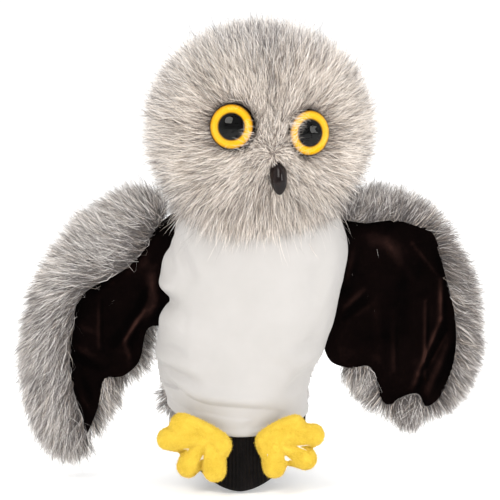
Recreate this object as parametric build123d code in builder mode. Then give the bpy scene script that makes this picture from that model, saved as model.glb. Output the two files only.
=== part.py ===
"""Plush owl glove puppet: a fur head on a finger pocket, a cloth belly over a
hand sleeve, two lined fur wings with finger pockets, two stuffed feet, a tail.

Millimetres, +Z up, the owl faces -Y.  The origin is on the axis of the hand
opening, at the level where the cuff first closes into a full ring.
"""

import os
from math import cos, radians, sin

from build123d import *

os.makedirs("parts", exist_ok=True)

# ---------------------------------------------------------------- dimensions
CLOTH = 2.0  # belly cloth with its backing
LINING = 1.5  # thin lining cloth
PILE = 10.0  # fur pile, as it stands when lightly pressed

# Body sleeve, outer surface: height, centre x, half width, half depth
TORSO = [
    (4.0, 0.0, 42.6, 42.4),
    (20.0, -0.5, 44.0, 42.8),
    (36.0, -2.0, 46.5, 42.6),
    (61.0, 1.5, 53.0, 41.0),
    (86.0, 7.0, 54.5, 39.5),
    (104.5, 7.8, 57.5, 38.0),
    (122.5, 10.4, 56.0, 35.0),
    (140.0, 10.8, 50.0, 30.0),
]
HEM_LOW, HEM_SIDE = 8.0, 24.0  # hem height at the middle and at the side
CUFF_R, CUFF_WALL, CUFF_TOP, CUFF_LOW = 40.0, 2.0, 32.0, -27.0

# Head
HX, HZ = 12.4, 192.6  # centre of the head ball
HEAD_R = 64.0  # over the pile
SKIN_R = 54.0  # over the fur cloth's backing
FILL_R = 51.9
FACE_TURN = 10.0  # the head's resting turn to +X
DISH_Z, DISH_R = 205.0, 87.0  # hollow in the shoulders that the head moves in
NECK_R, NECK_HOLE_R = 14.5, 16.0
NECK_LOW, NECK_TOP = 106.0, 125.0
POCKET_R, POCKET_WALL = 12.5, 1.5
POCKET_LOW, POCKET_TOP = 131.0, 200.0

# Eyes and beak: bearing from straight ahead, elevation
EYE_L = (-18.0, 6.4)
EYE_R = (31.8, 2.0)
BEAK = (11.7, -23.6)
EYE_RADIUS, EYE_DOME_R = 14.0, 16.0

# Wings: the cloth is cupped about an upright axis in front of the wing
CUP_R = 150.0
WING_FUR = 14.0
FINGER_W, FINGER_T = 25.0, 11.0
WING_L_X, WING_R_X = -98.0, 101.0
CUP_Y = 3.6 - CUP_R

WING_L_FUR = [
    (-49.5, 124.0), (-58.0, 133.0), (-67.0, 142.0), (-77.0, 148.5), (-88.0, 150.0),
    (-104.0, 141.0), (-118.0, 123.0), (-129.0, 102.0), (-137.0, 78.5), (-140.7, 60.0),
    (-139.0, 37.5), (-134.5, 14.0), (-126.5, -4.5), (-113.0, -6.0), (-99.0, -1.5),
    (-87.0, 12.5), (-77.5, 27.0), (-67.0, 41.0), (-61.5, 55.0), (-58.0, 68.0),
    (-56.0, 80.0), (-54.0, 99.0), (-51.5, 113.0),
]
WING_L_LINING = [
    (-50.5, 122.0), (-57.0, 127.0), (-62.0, 119.0), (-73.2, 106.5), (-85.0, 99.5),
    (-93.0, 94.5), (-101.4, 87.5), (-105.0, 75.0), (-107.5, 60.5), (-107.5, 42.5),
    (-105.0, 26.0), (-99.5, 8.5), (-96.5, 1.0), (-92.0, 9.5), (-87.5, 22.0),
    (-84.5, 35.5), (-73.5, 38.5), (-64.5, 48.5), (-60.0, 62.0), (-57.5, 71.0),
    (-56.0, 80.0), (-54.0, 99.0), (-51.5, 113.0),
]
WING_R_FUR = [
    (70.5, 121.0), (79.0, 129.5), (88.0, 139.0), (98.0, 147.0), (110.0, 150.0),
    (120.0, 145.0), (130.5, 134.0), (138.5, 117.0), (143.0, 92.0), (145.5, 67.0),
    (144.5, 42.5), (137.5, 22.5), (127.0, 9.0), (115.0, 3.5), (99.0, 4.0),
    (88.5, 9.0), (79.5, 21.0), (70.5, 31.0), (62.5, 40.0), (60.5, 50.0),
    (61.5, 61.0), (65.5, 80.0), (68.5, 98.0), (70.0, 111.0),
]
WING_R_LINING = [
    (71.5, 120.0), (79.0, 127.5), (87.0, 134.5), (95.0, 135.5), (108.0, 132.5),
    (118.5, 127.5), (123.5, 117.0), (129.5, 96.0), (133.0, 79.0), (135.0, 65.0),
    (134.0, 48.0), (129.5, 32.5), (123.0, 20.5), (115.5, 17.0), (111.0, 24.5),
    (104.0, 24.0), (93.0, 18.5), (88.5, 22.5), (81.0, 40.0), (70.0, 41.5),
    (62.0, 47.0), (61.5, 61.0), (65.5, 80.0), (68.5, 98.0), (70.0, 111.0),
]
FINGER_L = ((-44.0, 115.0), (-86.0, 72.0))  # finger stall, end centre to end centre
FINGER_R = ((63.0, 113.0), (105.0, 70.0))
MOUTH_L, MOUTH_R = -54.5, 70.5  # where each stall is open

# Feet: each lies in its own upright plane, turned out from straight ahead
FOOT_TURN = 20.0
FOOT_OUT = 51.5  # middle plane of the foot from the sleeve's axis
FOOT_HALF = 6.0
TOE_W = 14.0
SKIN = 1.6  # fleece with its seam
FOOT_L_PALM = [(-19.0, 22.5), (10.5, 10.5), (10.5, -2.0), (-5.0, -7.0), (-18.0, 1.0), (-27.0, 12.0)]
FOOT_L_TOES = [((-6.5, 6.0), (-28.0, 5.5)), ((-6.5, 2.0), (-15.0, -10.5)), ((1.0, 1.0), (2.5, -12.0))]
FOOT_R_PALM = [(-7.0, 11.0), (17.0, 21.5), (25.0, 12.0), (23.0, 3.5), (12.0, -8.5), (-4.0, -3.5)]
FOOT_R_TOES = [((9.0, 6.5), (29.0, 8.0)), ((9.0, 2.0), (24.0, -6.5)), ((4.0, 1.0), (3.5, -10.0))]

# Tail
TAIL_Y, TAIL_FUR = 55.5, 9.0
TAIL = [(-28.0, 52.0), (24.0, 52.0), (33.0, 30.0), (38.0, 8.0), (24.0, -3.0), (4.0, -7.0),
        (-22.0, -5.0), (-44.0, 2.0), (-50.0, 14.0), (-40.0, 32.0)]


# ------------------------------------------------------------------- helpers
def torso_rings(inset, back=0.0):
    """Cross-sections of the body sleeve, drawn inward by inset."""
    rings = []
    for height, centre, half_width, half_depth in TORSO:
        with BuildSketch(Plane.XY.offset(height)) as ring:
            with Locations((centre, 0)):
                Ellipse(half_width - inset, half_depth - inset + back)
        rings.append(ring.sketch)
    return rings


def bearing(az, el):
    """Unit vector from the head's centre, az from straight ahead towards +X."""
    a, e = radians(az), radians(el)
    return Vector(sin(a) * cos(e), -cos(a) * cos(e), sin(e))


def head_plane(place, out):
    """Plane square to a bearing from the head's centre, at a distance from it."""
    az, el = place
    way = bearing(az, el)
    a = radians(az)
    return Plane(
        origin=Vector(HX, 0, HZ) + way * out, x_dir=(cos(a), sin(a), 0), z_dir=way
    )


def smooth(points):
    """Closed outline through the points, sharp only at the first one."""
    with BuildSketch(Plane.XZ) as outline:
        with BuildLine():
            Spline(*points, points[0])
        make_face()
    return outline.sketch


def cup(middle_x, inner, outer):
    """Upright cupped layer of a wing between two radii."""
    with BuildPart() as layer:
        with BuildSketch(Plane.XY.offset(-60)):
            with Locations((middle_x, CUP_Y)):
                Circle(outer)
                Circle(inner, mode=Mode.SUBTRACT)
        extrude(amount=280)
    return layer.part


def stall(ends, width):
    """Finger outline from one end centre to the other."""
    (x0, z0), (x1, z1) = ends
    with BuildSketch(Plane.XZ) as finger:
        with BuildLine():
            Line((x0, z0), (x1, z1))
        trace(line_width=0.2)
        offset(amount=width / 2 - 0.1)
    return finger.sketch


def foot_plane(side, out):
    """Upright plane of a foot: side -1 on the -X side, +1 on the +X side."""
    t = radians(FOOT_TURN) * side
    way = Vector(sin(t), -cos(t), 0)
    along = Vector(cos(t), sin(t), 0)
    return Plane(origin=way * out, x_dir=along, z_dir=way)


def foot_outline(plane, palm, toes, inset):
    """Palm and three round toes, drawn inward by inset."""
    with BuildSketch(plane) as outline:
        with BuildLine():
            Polyline(*palm, close=True)
        make_face()
        if inset:
            offset(amount=-inset)
        for start, end in toes:
            with BuildSketch(plane) as toe:
                with BuildLine():
                    Line(start, end)
                trace(line_width=0.2)
                offset(amount=TOE_W / 2 - 0.1 - inset)
            add(toe.sketch)
    return outline.sketch


# --------------------------------------------------------------------- torso
with BuildPart() as hem_trim:  # what the tongue-shaped hem leaves off below
    with BuildSketch(Plane.XZ):
        with BuildLine():
            ThreePointArc((-42.0, HEM_SIDE), (0, HEM_LOW), (42.0, HEM_SIDE))
            Polyline((42.0, HEM_SIDE), (80, HEM_SIDE), (80, -60), (-80, -60), (-80, HEM_SIDE), (-42.0, HEM_SIDE))
        make_face()
    extrude(amount=90, both=True)

with BuildPart() as armholes:  # where the fingers pass into the wings
    with Locations((-52, 0, 108), (74, 0, 106)):
        Box(34, 22, 22)

with BuildPart() as sleeve_room:  # space inside the belly and back cloth
    loft(sections=torso_rings(CLOTH))
    with Locations((HX, 0, DISH_Z)):
        Sphere(DISH_R + CLOTH, mode=Mode.SUBTRACT)

with BuildPart() as belly_panel:
    loft(sections=torso_rings(0))
    with Locations((HX, 0, DISH_Z)):
        Sphere(DISH_R, mode=Mode.SUBTRACT)
    add(sleeve_room.part, mode=Mode.SUBTRACT)
    split(bisect_by=Plane.XZ, keep=Keep.TOP)
    add(hem_trim.part, mode=Mode.SUBTRACT)
    add(armholes.part, mode=Mode.SUBTRACT)
    with Locations((HX, 0, 120)):
        Cylinder(NECK_HOLE_R, 60, mode=Mode.SUBTRACT)
belly_panel.part.label = "belly_panel"
export_step(belly_panel.part, "parts/belly_panel.step")

with BuildPart() as back_fur_panel:
    loft(sections=torso_rings(0, PILE))
    with Locations((HX, 0, DISH_Z)):
        Sphere(DISH_R, mode=Mode.SUBTRACT)
    add(sleeve_room.part, mode=Mode.SUBTRACT)
    split(bisect_by=Plane.XZ, keep=Keep.BOTTOM)
    add(hem_trim.part, mode=Mode.SUBTRACT)
    add(armholes.part, mode=Mode.SUBTRACT)
    with Locations((HX, 0, 120)):
        Cylinder(NECK_HOLE_R, 60, mode=Mode.SUBTRACT)
back_fur_panel.part.label = "back_fur_panel"
export_step(back_fur_panel.part, "parts/back_fur_panel.step")

with BuildPart() as hand_room:  # space for the hand inside the lining
    loft(sections=torso_rings(CLOTH + 0.15 + LINING))
    with Locations((HX, 0, DISH_Z)):
        Sphere(DISH_R + CLOTH + 0.15 + LINING, mode=Mode.SUBTRACT)

with BuildPart() as hand_sleeve:
    loft(sections=torso_rings(CLOTH + 0.15))
    with Locations((HX, 0, DISH_Z)):
        Sphere(DISH_R + CLOTH + 0.15, mode=Mode.SUBTRACT)
    add(hand_room.part, mode=Mode.SUBTRACT)
    split(bisect_by=Plane.XY.offset(CUFF_TOP + 0.1), keep=Keep.TOP)
    add(armholes.part, mode=Mode.SUBTRACT)
    with Locations((HX, 0, 120)):
        Cylinder(NECK_HOLE_R, 60, mode=Mode.SUBTRACT)
hand_sleeve.part.label = "hand_sleeve"
export_step(hand_sleeve.part, "parts/hand_sleeve.step")

with BuildPart() as cuff:
    with BuildSketch(Plane.XY.offset(CUFF_LOW)):
        Circle(CUFF_R)
        Circle(CUFF_R - CUFF_WALL, mode=Mode.SUBTRACT)
    extrude(amount=CUFF_TOP - CUFF_LOW)
    with BuildSketch(Plane.XZ):  # the tongue-shaped lower edge
        with BuildLine():
            ThreePointArc((-CUFF_R - 1, 0), (0, CUFF_LOW), (CUFF_R + 1, 0))
            Polyline((CUFF_R + 1, 0), (60, 0), (60, -60), (-60, -60), (-60, 0), (-CUFF_R - 1, 0))
        make_face()
    extrude(amount=60, both=True, mode=Mode.SUBTRACT)
cuff.part.label = "cuff"
export_step(cuff.part, "parts/cuff.step")

with BuildPart() as neck_sleeve:
    with BuildSketch(Plane.XY.offset(NECK_LOW)):
        with Locations((HX, 0)):
            Circle(NECK_R)
            Circle(NECK_R - LINING, mode=Mode.SUBTRACT)
    extrude(amount=NECK_TOP - NECK_LOW)
neck_sleeve.part.label = "neck_sleeve"
export_step(neck_sleeve.part, "parts/neck_sleeve.step")

# ---------------------------------------------------------------------- head
FACE_DEPTH = 8.0  # the face seam lies this far in front of the head's centre
head_centre = Vector(HX, 0, HZ)
face_way = bearing(FACE_TURN, 0)
face_axis = Axis(head_centre, face_way)
profile_plane = Plane(
    origin=head_centre, x_dir=face_way, z_dir=face_way.cross(Vector(0, 0, 1))
)
mid_cut = Plane(origin=head_centre, z_dir=(cos(radians(FACE_TURN)), sin(radians(FACE_TURN)), 0))
SHELL_R = SKIN_R - CLOTH


def shell_profile(front):
    """Half section of the fur shell in front of the face seam, or behind it."""
    end = 1 if front else -1
    outer_h = (HEAD_R**2 - FACE_DEPTH**2) ** 0.5
    inner_h = (SHELL_R**2 - FACE_DEPTH**2) ** 0.5
    tilt = radians(35 if front else 115)
    with BuildSketch(profile_plane) as section:
        with BuildLine():
            ThreePointArc(
                (FACE_DEPTH, outer_h),
                (HEAD_R * cos(tilt), HEAD_R * sin(tilt)),
                (end * HEAD_R, 0),
            )
            Line((end * HEAD_R, 0), (end * SHELL_R, 0))
            ThreePointArc(
                (end * SHELL_R, 0),
                (SHELL_R * cos(tilt), SHELL_R * sin(tilt)),
                (FACE_DEPTH, inner_h),
            )
            Line((FACE_DEPTH, inner_h), (FACE_DEPTH, outer_h))
        make_face()
    return section.sketch


with BuildPart() as head_sockets:  # room for eyes, beak, shanks and the neck
    for place, size in ((EYE_L, 14.5), (EYE_R, 14.5)):
        with BuildSketch(head_plane(place, SKIN_R)):
            Circle(size)
        extrude(amount=30)
        with BuildSketch(head_plane(place, 40)):
            Circle(3.1)
        extrude(amount=20)
    with BuildSketch(head_plane(BEAK, SKIN_R - 0.6)):
        Ellipse(7.0, 11.0)
    extrude(amount=30)
    with BuildSketch(head_plane(BEAK, 40)):
        Circle(2.6)
    extrude(amount=20)
    with BuildSketch(Plane.XY.offset(HZ - 80)):
        with Locations((HX, 0)):
            Circle(15.5)
    extrude(amount=60)

with BuildPart() as head_face_panel:
    revolve(shell_profile(True), axis=face_axis)
    add(head_sockets.part, mode=Mode.SUBTRACT)
head_face_panel.part.label = "head_face_panel"
export_step(head_face_panel.part, "parts/head_face_panel.step")

with BuildPart() as head_back_left_panel:
    revolve(shell_profile(False), axis=face_axis)
    split(bisect_by=mid_cut, keep=Keep.BOTTOM)
    add(head_sockets.part, mode=Mode.SUBTRACT)
head_back_left_panel.part.label = "head_back_left_panel"
export_step(head_back_left_panel.part, "parts/head_back_left_panel.step")

with BuildPart() as head_back_right_panel:
    revolve(shell_profile(False), axis=face_axis)
    split(bisect_by=mid_cut, keep=Keep.TOP)
    add(head_sockets.part, mode=Mode.SUBTRACT)
head_back_right_panel.part.label = "head_back_right_panel"
export_step(head_back_right_panel.part, "parts/head_back_right_panel.step")

with BuildPart() as head_filling:
    with Locations((HX, 0, HZ)):
        Sphere(FILL_R)
    with BuildSketch(Plane.XY.offset(HZ - 80)):
        with Locations((HX, 0)):
            Circle(POCKET_R + 0.1)
    extrude(amount=80 + POCKET_TOP - HZ + 0.2, mode=Mode.SUBTRACT)
    for place, size in ((EYE_L, 9.3), (EYE_R, 9.3), (BEAK, 7.3)):
        with BuildSketch(head_plane(place, 40)):
            Circle(size)
        extrude(amount=20, mode=Mode.SUBTRACT)
head_filling.part.label = "head_filling"
export_step(head_filling.part, "parts/head_filling.step")

with BuildPart() as head_finger_pocket:
    with BuildSketch(Plane.XY.offset(POCKET_LOW)):
        with Locations((HX, 0)):
            Circle(POCKET_R)
    extrude(amount=POCKET_TOP - POCKET_LOW)
    fillet(head_finger_pocket.edges().sort_by(Axis.Z)[-1], 6)
    with BuildSketch(Plane.XY.offset(POCKET_LOW)):
        with Locations((HX, 0)):
            Circle(POCKET_R - POCKET_WALL)
    extrude(amount=POCKET_TOP - POCKET_LOW - 4, mode=Mode.SUBTRACT)
head_finger_pocket.part.label = "head_finger_pocket"
export_step(head_finger_pocket.part, "parts/head_finger_pocket.step")

# ---------------------------------------------------------------------- eyes
with BuildPart() as eye_left_lens:
    with Locations(head_plane(EYE_L, 48.55)):
        Sphere(EYE_DOME_R)
    split(bisect_by=head_plane(EYE_L, 56.3), keep=Keep.TOP)
    with BuildSketch(head_plane(EYE_L, 55.3)):
        Circle(EYE_RADIUS)
    extrude(amount=1.0)
eye_left_lens.part.label = "eye_left_lens"
export_step(eye_left_lens.part, "parts/eye_left_lens.step")

with BuildPart() as eye_left_iris:
    with BuildSketch(head_plane(EYE_L, 54.1)):
        Circle(EYE_RADIUS - 0.2)
    extrude(amount=1.2)
    with BuildSketch(head_plane(EYE_L, 54.1)):
        Circle(3.0)
    extrude(amount=-12)
eye_left_iris.part.label = "eye_left_iris"
export_step(eye_left_iris.part, "parts/eye_left_iris.step")

with BuildPart() as eye_left_washer:
    with BuildSketch(head_plane(EYE_L, 49.3)):
        Circle(9.0)
        Circle(3.05, mode=Mode.SUBTRACT)
    extrude(amount=1.7)
eye_left_washer.part.label = "eye_left_washer"
export_step(eye_left_washer.part, "parts/eye_left_washer.step")

with BuildPart() as eye_right_lens:
    with Locations(head_plane(EYE_R, 48.55)):
        Sphere(EYE_DOME_R)
    split(bisect_by=head_plane(EYE_R, 56.3), keep=Keep.TOP)
    with BuildSketch(head_plane(EYE_R, 55.3)):
        Circle(EYE_RADIUS)
    extrude(amount=1.0)
eye_right_lens.part.label = "eye_right_lens"
export_step(eye_right_lens.part, "parts/eye_right_lens.step")

with BuildPart() as eye_right_iris:
    with BuildSketch(head_plane(EYE_R, 54.1)):
        Circle(EYE_RADIUS - 0.2)
    extrude(amount=1.2)
    with BuildSketch(head_plane(EYE_R, 54.1)):
        Circle(3.0)
    extrude(amount=-12)
eye_right_iris.part.label = "eye_right_iris"
export_step(eye_right_iris.part, "parts/eye_right_iris.step")

with BuildPart() as eye_right_washer:
    with BuildSketch(head_plane(EYE_R, 49.3)):
        Circle(9.0)
        Circle(3.05, mode=Mode.SUBTRACT)
    extrude(amount=1.7)
eye_right_washer.part.label = "eye_right_washer"
export_step(eye_right_washer.part, "parts/eye_right_washer.step")

# ---------------------------------------------------------------------- beak
with BuildPart() as beak:
    with BuildSketch(head_plane(BEAK, 54.3)):
        Ellipse(5.4, 9.4)
    with BuildSketch(head_plane(BEAK, 60.0)):
        with Locations((0, -1.0)):
            Ellipse(5.2, 8.6)
    with BuildSketch(head_plane(BEAK, 66.0)):
        with Locations((0, -3.5)):
            Ellipse(3.8, 5.6)
    with BuildSketch(head_plane(BEAK, 70.0)):
        with Locations((0, -6.5)):
            Ellipse(1.6, 2.0)
    loft()
    with BuildSketch(head_plane(BEAK, 54.3)):
        Circle(2.5)
    extrude(amount=-12)
beak.part.label = "beak"
export_step(beak.part, "parts/beak.step")

with BuildPart() as beak_washer:
    with BuildSketch(head_plane(BEAK, 49.3)):
        Circle(7.0)
        Circle(2.55, mode=Mode.SUBTRACT)
    extrude(amount=1.7)
beak_washer.part.label = "beak_washer"
export_step(beak_washer.part, "parts/beak_washer.step")

# --------------------------------------------------------------------- wings
R_LINING = CUP_R + LINING  # back of the lining
R_FUR = R_LINING + 0.1  # front of the fur panel
R_STALL = R_FUR + 0.1  # front of the finger pocket

with BuildPart() as stall_left:
    extrude(stall(FINGER_L, FINGER_W), amount=60, both=True)
    add(cup(WING_L_X, R_STALL, R_STALL + FINGER_T), mode=Mode.INTERSECT)

with BuildPart() as stall_right:
    extrude(stall(FINGER_R, FINGER_W), amount=60, both=True)
    add(cup(WING_R_X, R_STALL, R_STALL + FINGER_T), mode=Mode.INTERSECT)

with BuildPart() as recess_left:  # bed of the pocket in the fur panel
    extrude(stall(FINGER_L, FINGER_W + 0.3), amount=60, both=True)
    add(cup(WING_L_X, R_FUR - 5, R_STALL + FINGER_T + 0.1), mode=Mode.INTERSECT)

with BuildPart() as recess_right:
    extrude(stall(FINGER_R, FINGER_W + 0.3), amount=60, both=True)
    add(cup(WING_R_X, R_FUR - 5, R_STALL + FINGER_T + 0.1), mode=Mode.INTERSECT)

with BuildPart() as finger_room_left:  # inside of the pocket
    extrude(stall(FINGER_L, FINGER_W - 2 * LINING), amount=60, both=True)
    add(cup(WING_L_X, R_STALL + LINING, R_STALL + FINGER_T - LINING), mode=Mode.INTERSECT)

with BuildPart() as finger_room_right:
    extrude(stall(FINGER_R, FINGER_W - 2 * LINING), amount=60, both=True)
    add(cup(WING_R_X, R_STALL + LINING, R_STALL + FINGER_T - LINING), mode=Mode.INTERSECT)

with BuildPart() as wing_left_fur_panel:
    extrude(smooth(WING_L_FUR), amount=60, both=True)
    add(cup(WING_L_X, R_FUR, R_FUR + WING_FUR), mode=Mode.INTERSECT)
    add(recess_left.part, mode=Mode.SUBTRACT)
wing_left_fur_panel.part.label = "wing_left_fur_panel"
export_step(wing_left_fur_panel.part, "parts/wing_left_fur_panel.step")

with BuildPart() as wing_left_lining:
    extrude(smooth(WING_L_LINING), amount=60, both=True)
    add(cup(WING_L_X, CUP_R, R_LINING), mode=Mode.INTERSECT)
wing_left_lining.part.label = "wing_left_lining"
export_step(wing_left_lining.part, "parts/wing_left_lining.step")

with BuildPart() as wing_left_finger_pocket:
    add(stall_left.part)
    add(finger_room_left.part, mode=Mode.SUBTRACT)
    split(bisect_by=Plane.YZ.offset(MOUTH_L), keep=Keep.BOTTOM)
wing_left_finger_pocket.part.label = "wing_left_finger_pocket"
export_step(wing_left_finger_pocket.part, "parts/wing_left_finger_pocket.step")

with BuildPart() as wing_right_fur_panel:
    extrude(smooth(WING_R_FUR), amount=60, both=True)
    add(cup(WING_R_X, R_FUR, R_FUR + WING_FUR), mode=Mode.INTERSECT)
    add(recess_right.part, mode=Mode.SUBTRACT)
wing_right_fur_panel.part.label = "wing_right_fur_panel"
export_step(wing_right_fur_panel.part, "parts/wing_right_fur_panel.step")

with BuildPart() as wing_right_lining:
    extrude(smooth(WING_R_LINING), amount=60, both=True)
    add(cup(WING_R_X, CUP_R, R_LINING), mode=Mode.INTERSECT)
wing_right_lining.part.label = "wing_right_lining"
export_step(wing_right_lining.part, "parts/wing_right_lining.step")

with BuildPart() as wing_right_finger_pocket:
    add(stall_right.part)
    add(finger_room_right.part, mode=Mode.SUBTRACT)
    split(bisect_by=Plane.YZ.offset(MOUTH_R), keep=Keep.TOP)
wing_right_finger_pocket.part.label = "wing_right_finger_pocket"
export_step(wing_right_finger_pocket.part, "parts/wing_right_finger_pocket.step")

# ---------------------------------------------------------------------- feet
foot_left_mid, foot_right_mid = foot_plane(-1, FOOT_OUT), foot_plane(1, FOOT_OUT)

with BuildPart() as foot_left_body:  # whole foot, its top edge rolled back
    extrude(foot_outline(foot_left_mid, FOOT_L_PALM, FOOT_L_TOES, 0), amount=FOOT_HALF, both=True)
    fillet(foot_left_body.edges().filter_by(lambda e: abs(e.length - 31.83) < 0.6), 5.4)

with BuildPart() as foot_left_room:
    extrude(foot_outline(foot_left_mid, FOOT_L_PALM, FOOT_L_TOES, SKIN), amount=FOOT_HALF - SKIN, both=True)
    fillet(foot_left_room.edges().filter_by(lambda e: 25 < e.length < 31), 3.8)

with BuildPart() as foot_right_body:
    extrude(foot_outline(foot_right_mid, FOOT_R_PALM, FOOT_R_TOES, 0), amount=FOOT_HALF, both=True)
    fillet(foot_right_body.edges().filter_by(lambda e: abs(e.length - 26.2) < 0.6), 5.4)

with BuildPart() as foot_right_room:
    extrude(foot_outline(foot_right_mid, FOOT_R_PALM, FOOT_R_TOES, SKIN), amount=FOOT_HALF - SKIN, both=True)
    fillet(foot_right_room.edges().filter_by(lambda e: 20 < e.length < 25.4), 3.8)

with BuildPart() as foot_left_upper:
    add(foot_left_body.part)
    add(foot_left_room.part, mode=Mode.SUBTRACT)
    split(bisect_by=foot_left_mid, keep=Keep.TOP)
foot_left_upper.part.label = "foot_left_upper"
export_step(foot_left_upper.part, "parts/foot_left_upper.step")

with BuildPart() as foot_left_sole:
    add(foot_left_body.part)
    add(foot_left_room.part, mode=Mode.SUBTRACT)
    split(bisect_by=foot_left_mid, keep=Keep.BOTTOM)
foot_left_sole.part.label = "foot_left_sole"
export_step(foot_left_sole.part, "parts/foot_left_sole.step")

with BuildPart() as foot_left_filling:
    extrude(foot_outline(foot_left_mid, FOOT_L_PALM, FOOT_L_TOES, SKIN + 0.4), amount=FOOT_HALF - SKIN - 0.4, both=True)
    fillet(foot_left_filling.edges().filter_by(lambda e: 25 < e.length < 31), 3.8)
foot_left_filling.part.label = "foot_left_filling"
export_step(foot_left_filling.part, "parts/foot_left_filling.step")

with BuildPart() as foot_right_upper:
    add(foot_right_body.part)
    add(foot_right_room.part, mode=Mode.SUBTRACT)
    split(bisect_by=foot_right_mid, keep=Keep.TOP)
foot_right_upper.part.label = "foot_right_upper"
export_step(foot_right_upper.part, "parts/foot_right_upper.step")

with BuildPart() as foot_right_sole:
    add(foot_right_body.part)
    add(foot_right_room.part, mode=Mode.SUBTRACT)
    split(bisect_by=foot_right_mid, keep=Keep.BOTTOM)
foot_right_sole.part.label = "foot_right_sole"
export_step(foot_right_sole.part, "parts/foot_right_sole.step")

with BuildPart() as foot_right_filling:
    extrude(foot_outline(foot_right_mid, FOOT_R_PALM, FOOT_R_TOES, SKIN + 0.4), amount=FOOT_HALF - SKIN - 0.4, both=True)
    fillet(foot_right_filling.edges().filter_by(lambda e: 20 < e.length < 25.4), 3.8)
foot_right_filling.part.label = "foot_right_filling"
export_step(foot_right_filling.part, "parts/foot_right_filling.step")

# ---------------------------------------------------------------------- tail
with BuildPart() as tail_lining:
    with BuildSketch(Plane.XZ.offset(-TAIL_Y)):
        with BuildLine():
            Spline(*TAIL, TAIL[0])
        make_face()
    extrude(amount=-LINING)
tail_lining.part.label = "tail_lining"
export_step(tail_lining.part, "parts/tail_lining.step")

with BuildPart() as tail_fur_panel:
    with BuildSketch(Plane.XZ.offset(-TAIL_Y - LINING)):
        with BuildLine():
            Spline(*TAIL, TAIL[0])
        make_face()
    extrude(amount=-TAIL_FUR)
tail_fur_panel.part.label = "tail_fur_panel"
export_step(tail_fur_panel.part, "parts/tail_fur_panel.step")
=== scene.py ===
import math
import bpy
import numpy as np
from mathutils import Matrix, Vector, kdtree
from mathutils.geometry import delaunay_2d_cdt


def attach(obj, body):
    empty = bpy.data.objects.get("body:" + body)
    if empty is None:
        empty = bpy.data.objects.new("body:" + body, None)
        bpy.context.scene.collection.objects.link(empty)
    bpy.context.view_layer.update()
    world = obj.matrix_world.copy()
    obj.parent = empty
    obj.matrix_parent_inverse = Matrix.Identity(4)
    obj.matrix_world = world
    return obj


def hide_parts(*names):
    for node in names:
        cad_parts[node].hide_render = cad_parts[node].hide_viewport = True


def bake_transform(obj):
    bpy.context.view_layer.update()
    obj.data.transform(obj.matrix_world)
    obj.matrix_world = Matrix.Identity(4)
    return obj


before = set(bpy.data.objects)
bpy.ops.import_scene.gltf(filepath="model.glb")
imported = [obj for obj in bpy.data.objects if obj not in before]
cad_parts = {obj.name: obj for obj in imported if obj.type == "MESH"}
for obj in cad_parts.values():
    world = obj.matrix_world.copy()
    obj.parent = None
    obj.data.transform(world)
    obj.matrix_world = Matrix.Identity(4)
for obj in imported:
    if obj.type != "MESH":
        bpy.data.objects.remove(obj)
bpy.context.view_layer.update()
DENS = 1.0
R = math.radians
scene = bpy.context.scene

# ------------------------------------------------------------ camera, light, floor
ELEV = 8.0
TARGET = Vector((0.0062, 0.0, 0.1169))
DIST = 1.8
cam_data = bpy.data.cameras.new("camera")
cam_data.sensor_width = 36.0
cam_data.lens = 36.0 * DIST / 0.310
cam = bpy.data.objects.new("camera", cam_data)
scene.collection.objects.link(cam)
cam.location = TARGET + Vector((0, -math.cos(R(ELEV)), math.sin(R(ELEV)))) * DIST
cam.rotation_euler = (R(90 - ELEV), 0, 0)
scene.camera = cam


def area_light(name, at, size, power, look=(0.0, 0.0, 0.12), color=(1, 1, 1)):
    data = bpy.data.lights.new(name, "AREA")
    data.shape = "RECTANGLE"
    data.size, data.size_y = size
    data.energy = power
    data.color = color
    lamp = bpy.data.objects.new(name, data)
    scene.collection.objects.link(lamp)
    lamp.location = at
    lamp.rotation_euler = (Vector(look) - Vector(at)).to_track_quat("-Z", "Y").to_euler()
    return lamp


area_light("key", (-0.75, -1.15, 1.05), (0.8, 0.8), 14.0, color=(1.0, 0.97, 0.93))
area_light("fill", (1.05, -0.95, 0.55), (0.7, 0.7), 10.0, color=(1.0, 0.985, 0.97))
area_light("top", (0.0, 0.25, 1.25), (0.9, 0.7), 4.0)

world = bpy.data.worlds.new("studio")
world.use_nodes = True
# bright behind the object, dimmer on the side the key light stands
wt = world.node_tree
way = wt.nodes.new("ShaderNodeTexCoord")
split = wt.nodes.new("ShaderNodeSeparateXYZ")
shade = wt.nodes.new("ShaderNodeMapRange")
shade.interpolation_type = "SMOOTHSTEP"
shade.inputs["From Min"].default_value = -0.85
shade.inputs["From Max"].default_value = -0.05
shade.inputs["To Min"].default_value = 0.5
shade.inputs["To Max"].default_value = 1.1
wt.links.new(way.outputs["Generated"], split.inputs[0])
wt.links.new(split.outputs["Y"], shade.inputs["Value"])
wt.links.new(shade.outputs["Result"], wt.nodes["Background"].inputs[1])
wt.nodes["Background"].inputs[0].default_value = (1.0, 1.0, 1.0, 1)
scene.world = world
scene.view_settings.view_transform = "Standard"
scene.view_settings.look = "None"


# ------------------------------------------------------------------- node helpers
def new_material(name, color, rough=0.8, **inputs):
    m = bpy.data.materials.new(name)
    m.use_nodes = True
    b = m.node_tree.nodes["Principled BSDF"]
    b.inputs["Base Color"].default_value = (*color, 1)
    b.inputs["Roughness"].default_value = rough
    for key, value in inputs.items():
        b.inputs[key.replace("_", " ")].default_value = value
    return m


def add(m, kind, **props):
    n = m.node_tree.nodes.new(kind)
    for k, v in props.items():
        setattr(n, k, v)
    return n


def link(m, a, b):
    m.node_tree.links.new(a, b)


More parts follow.
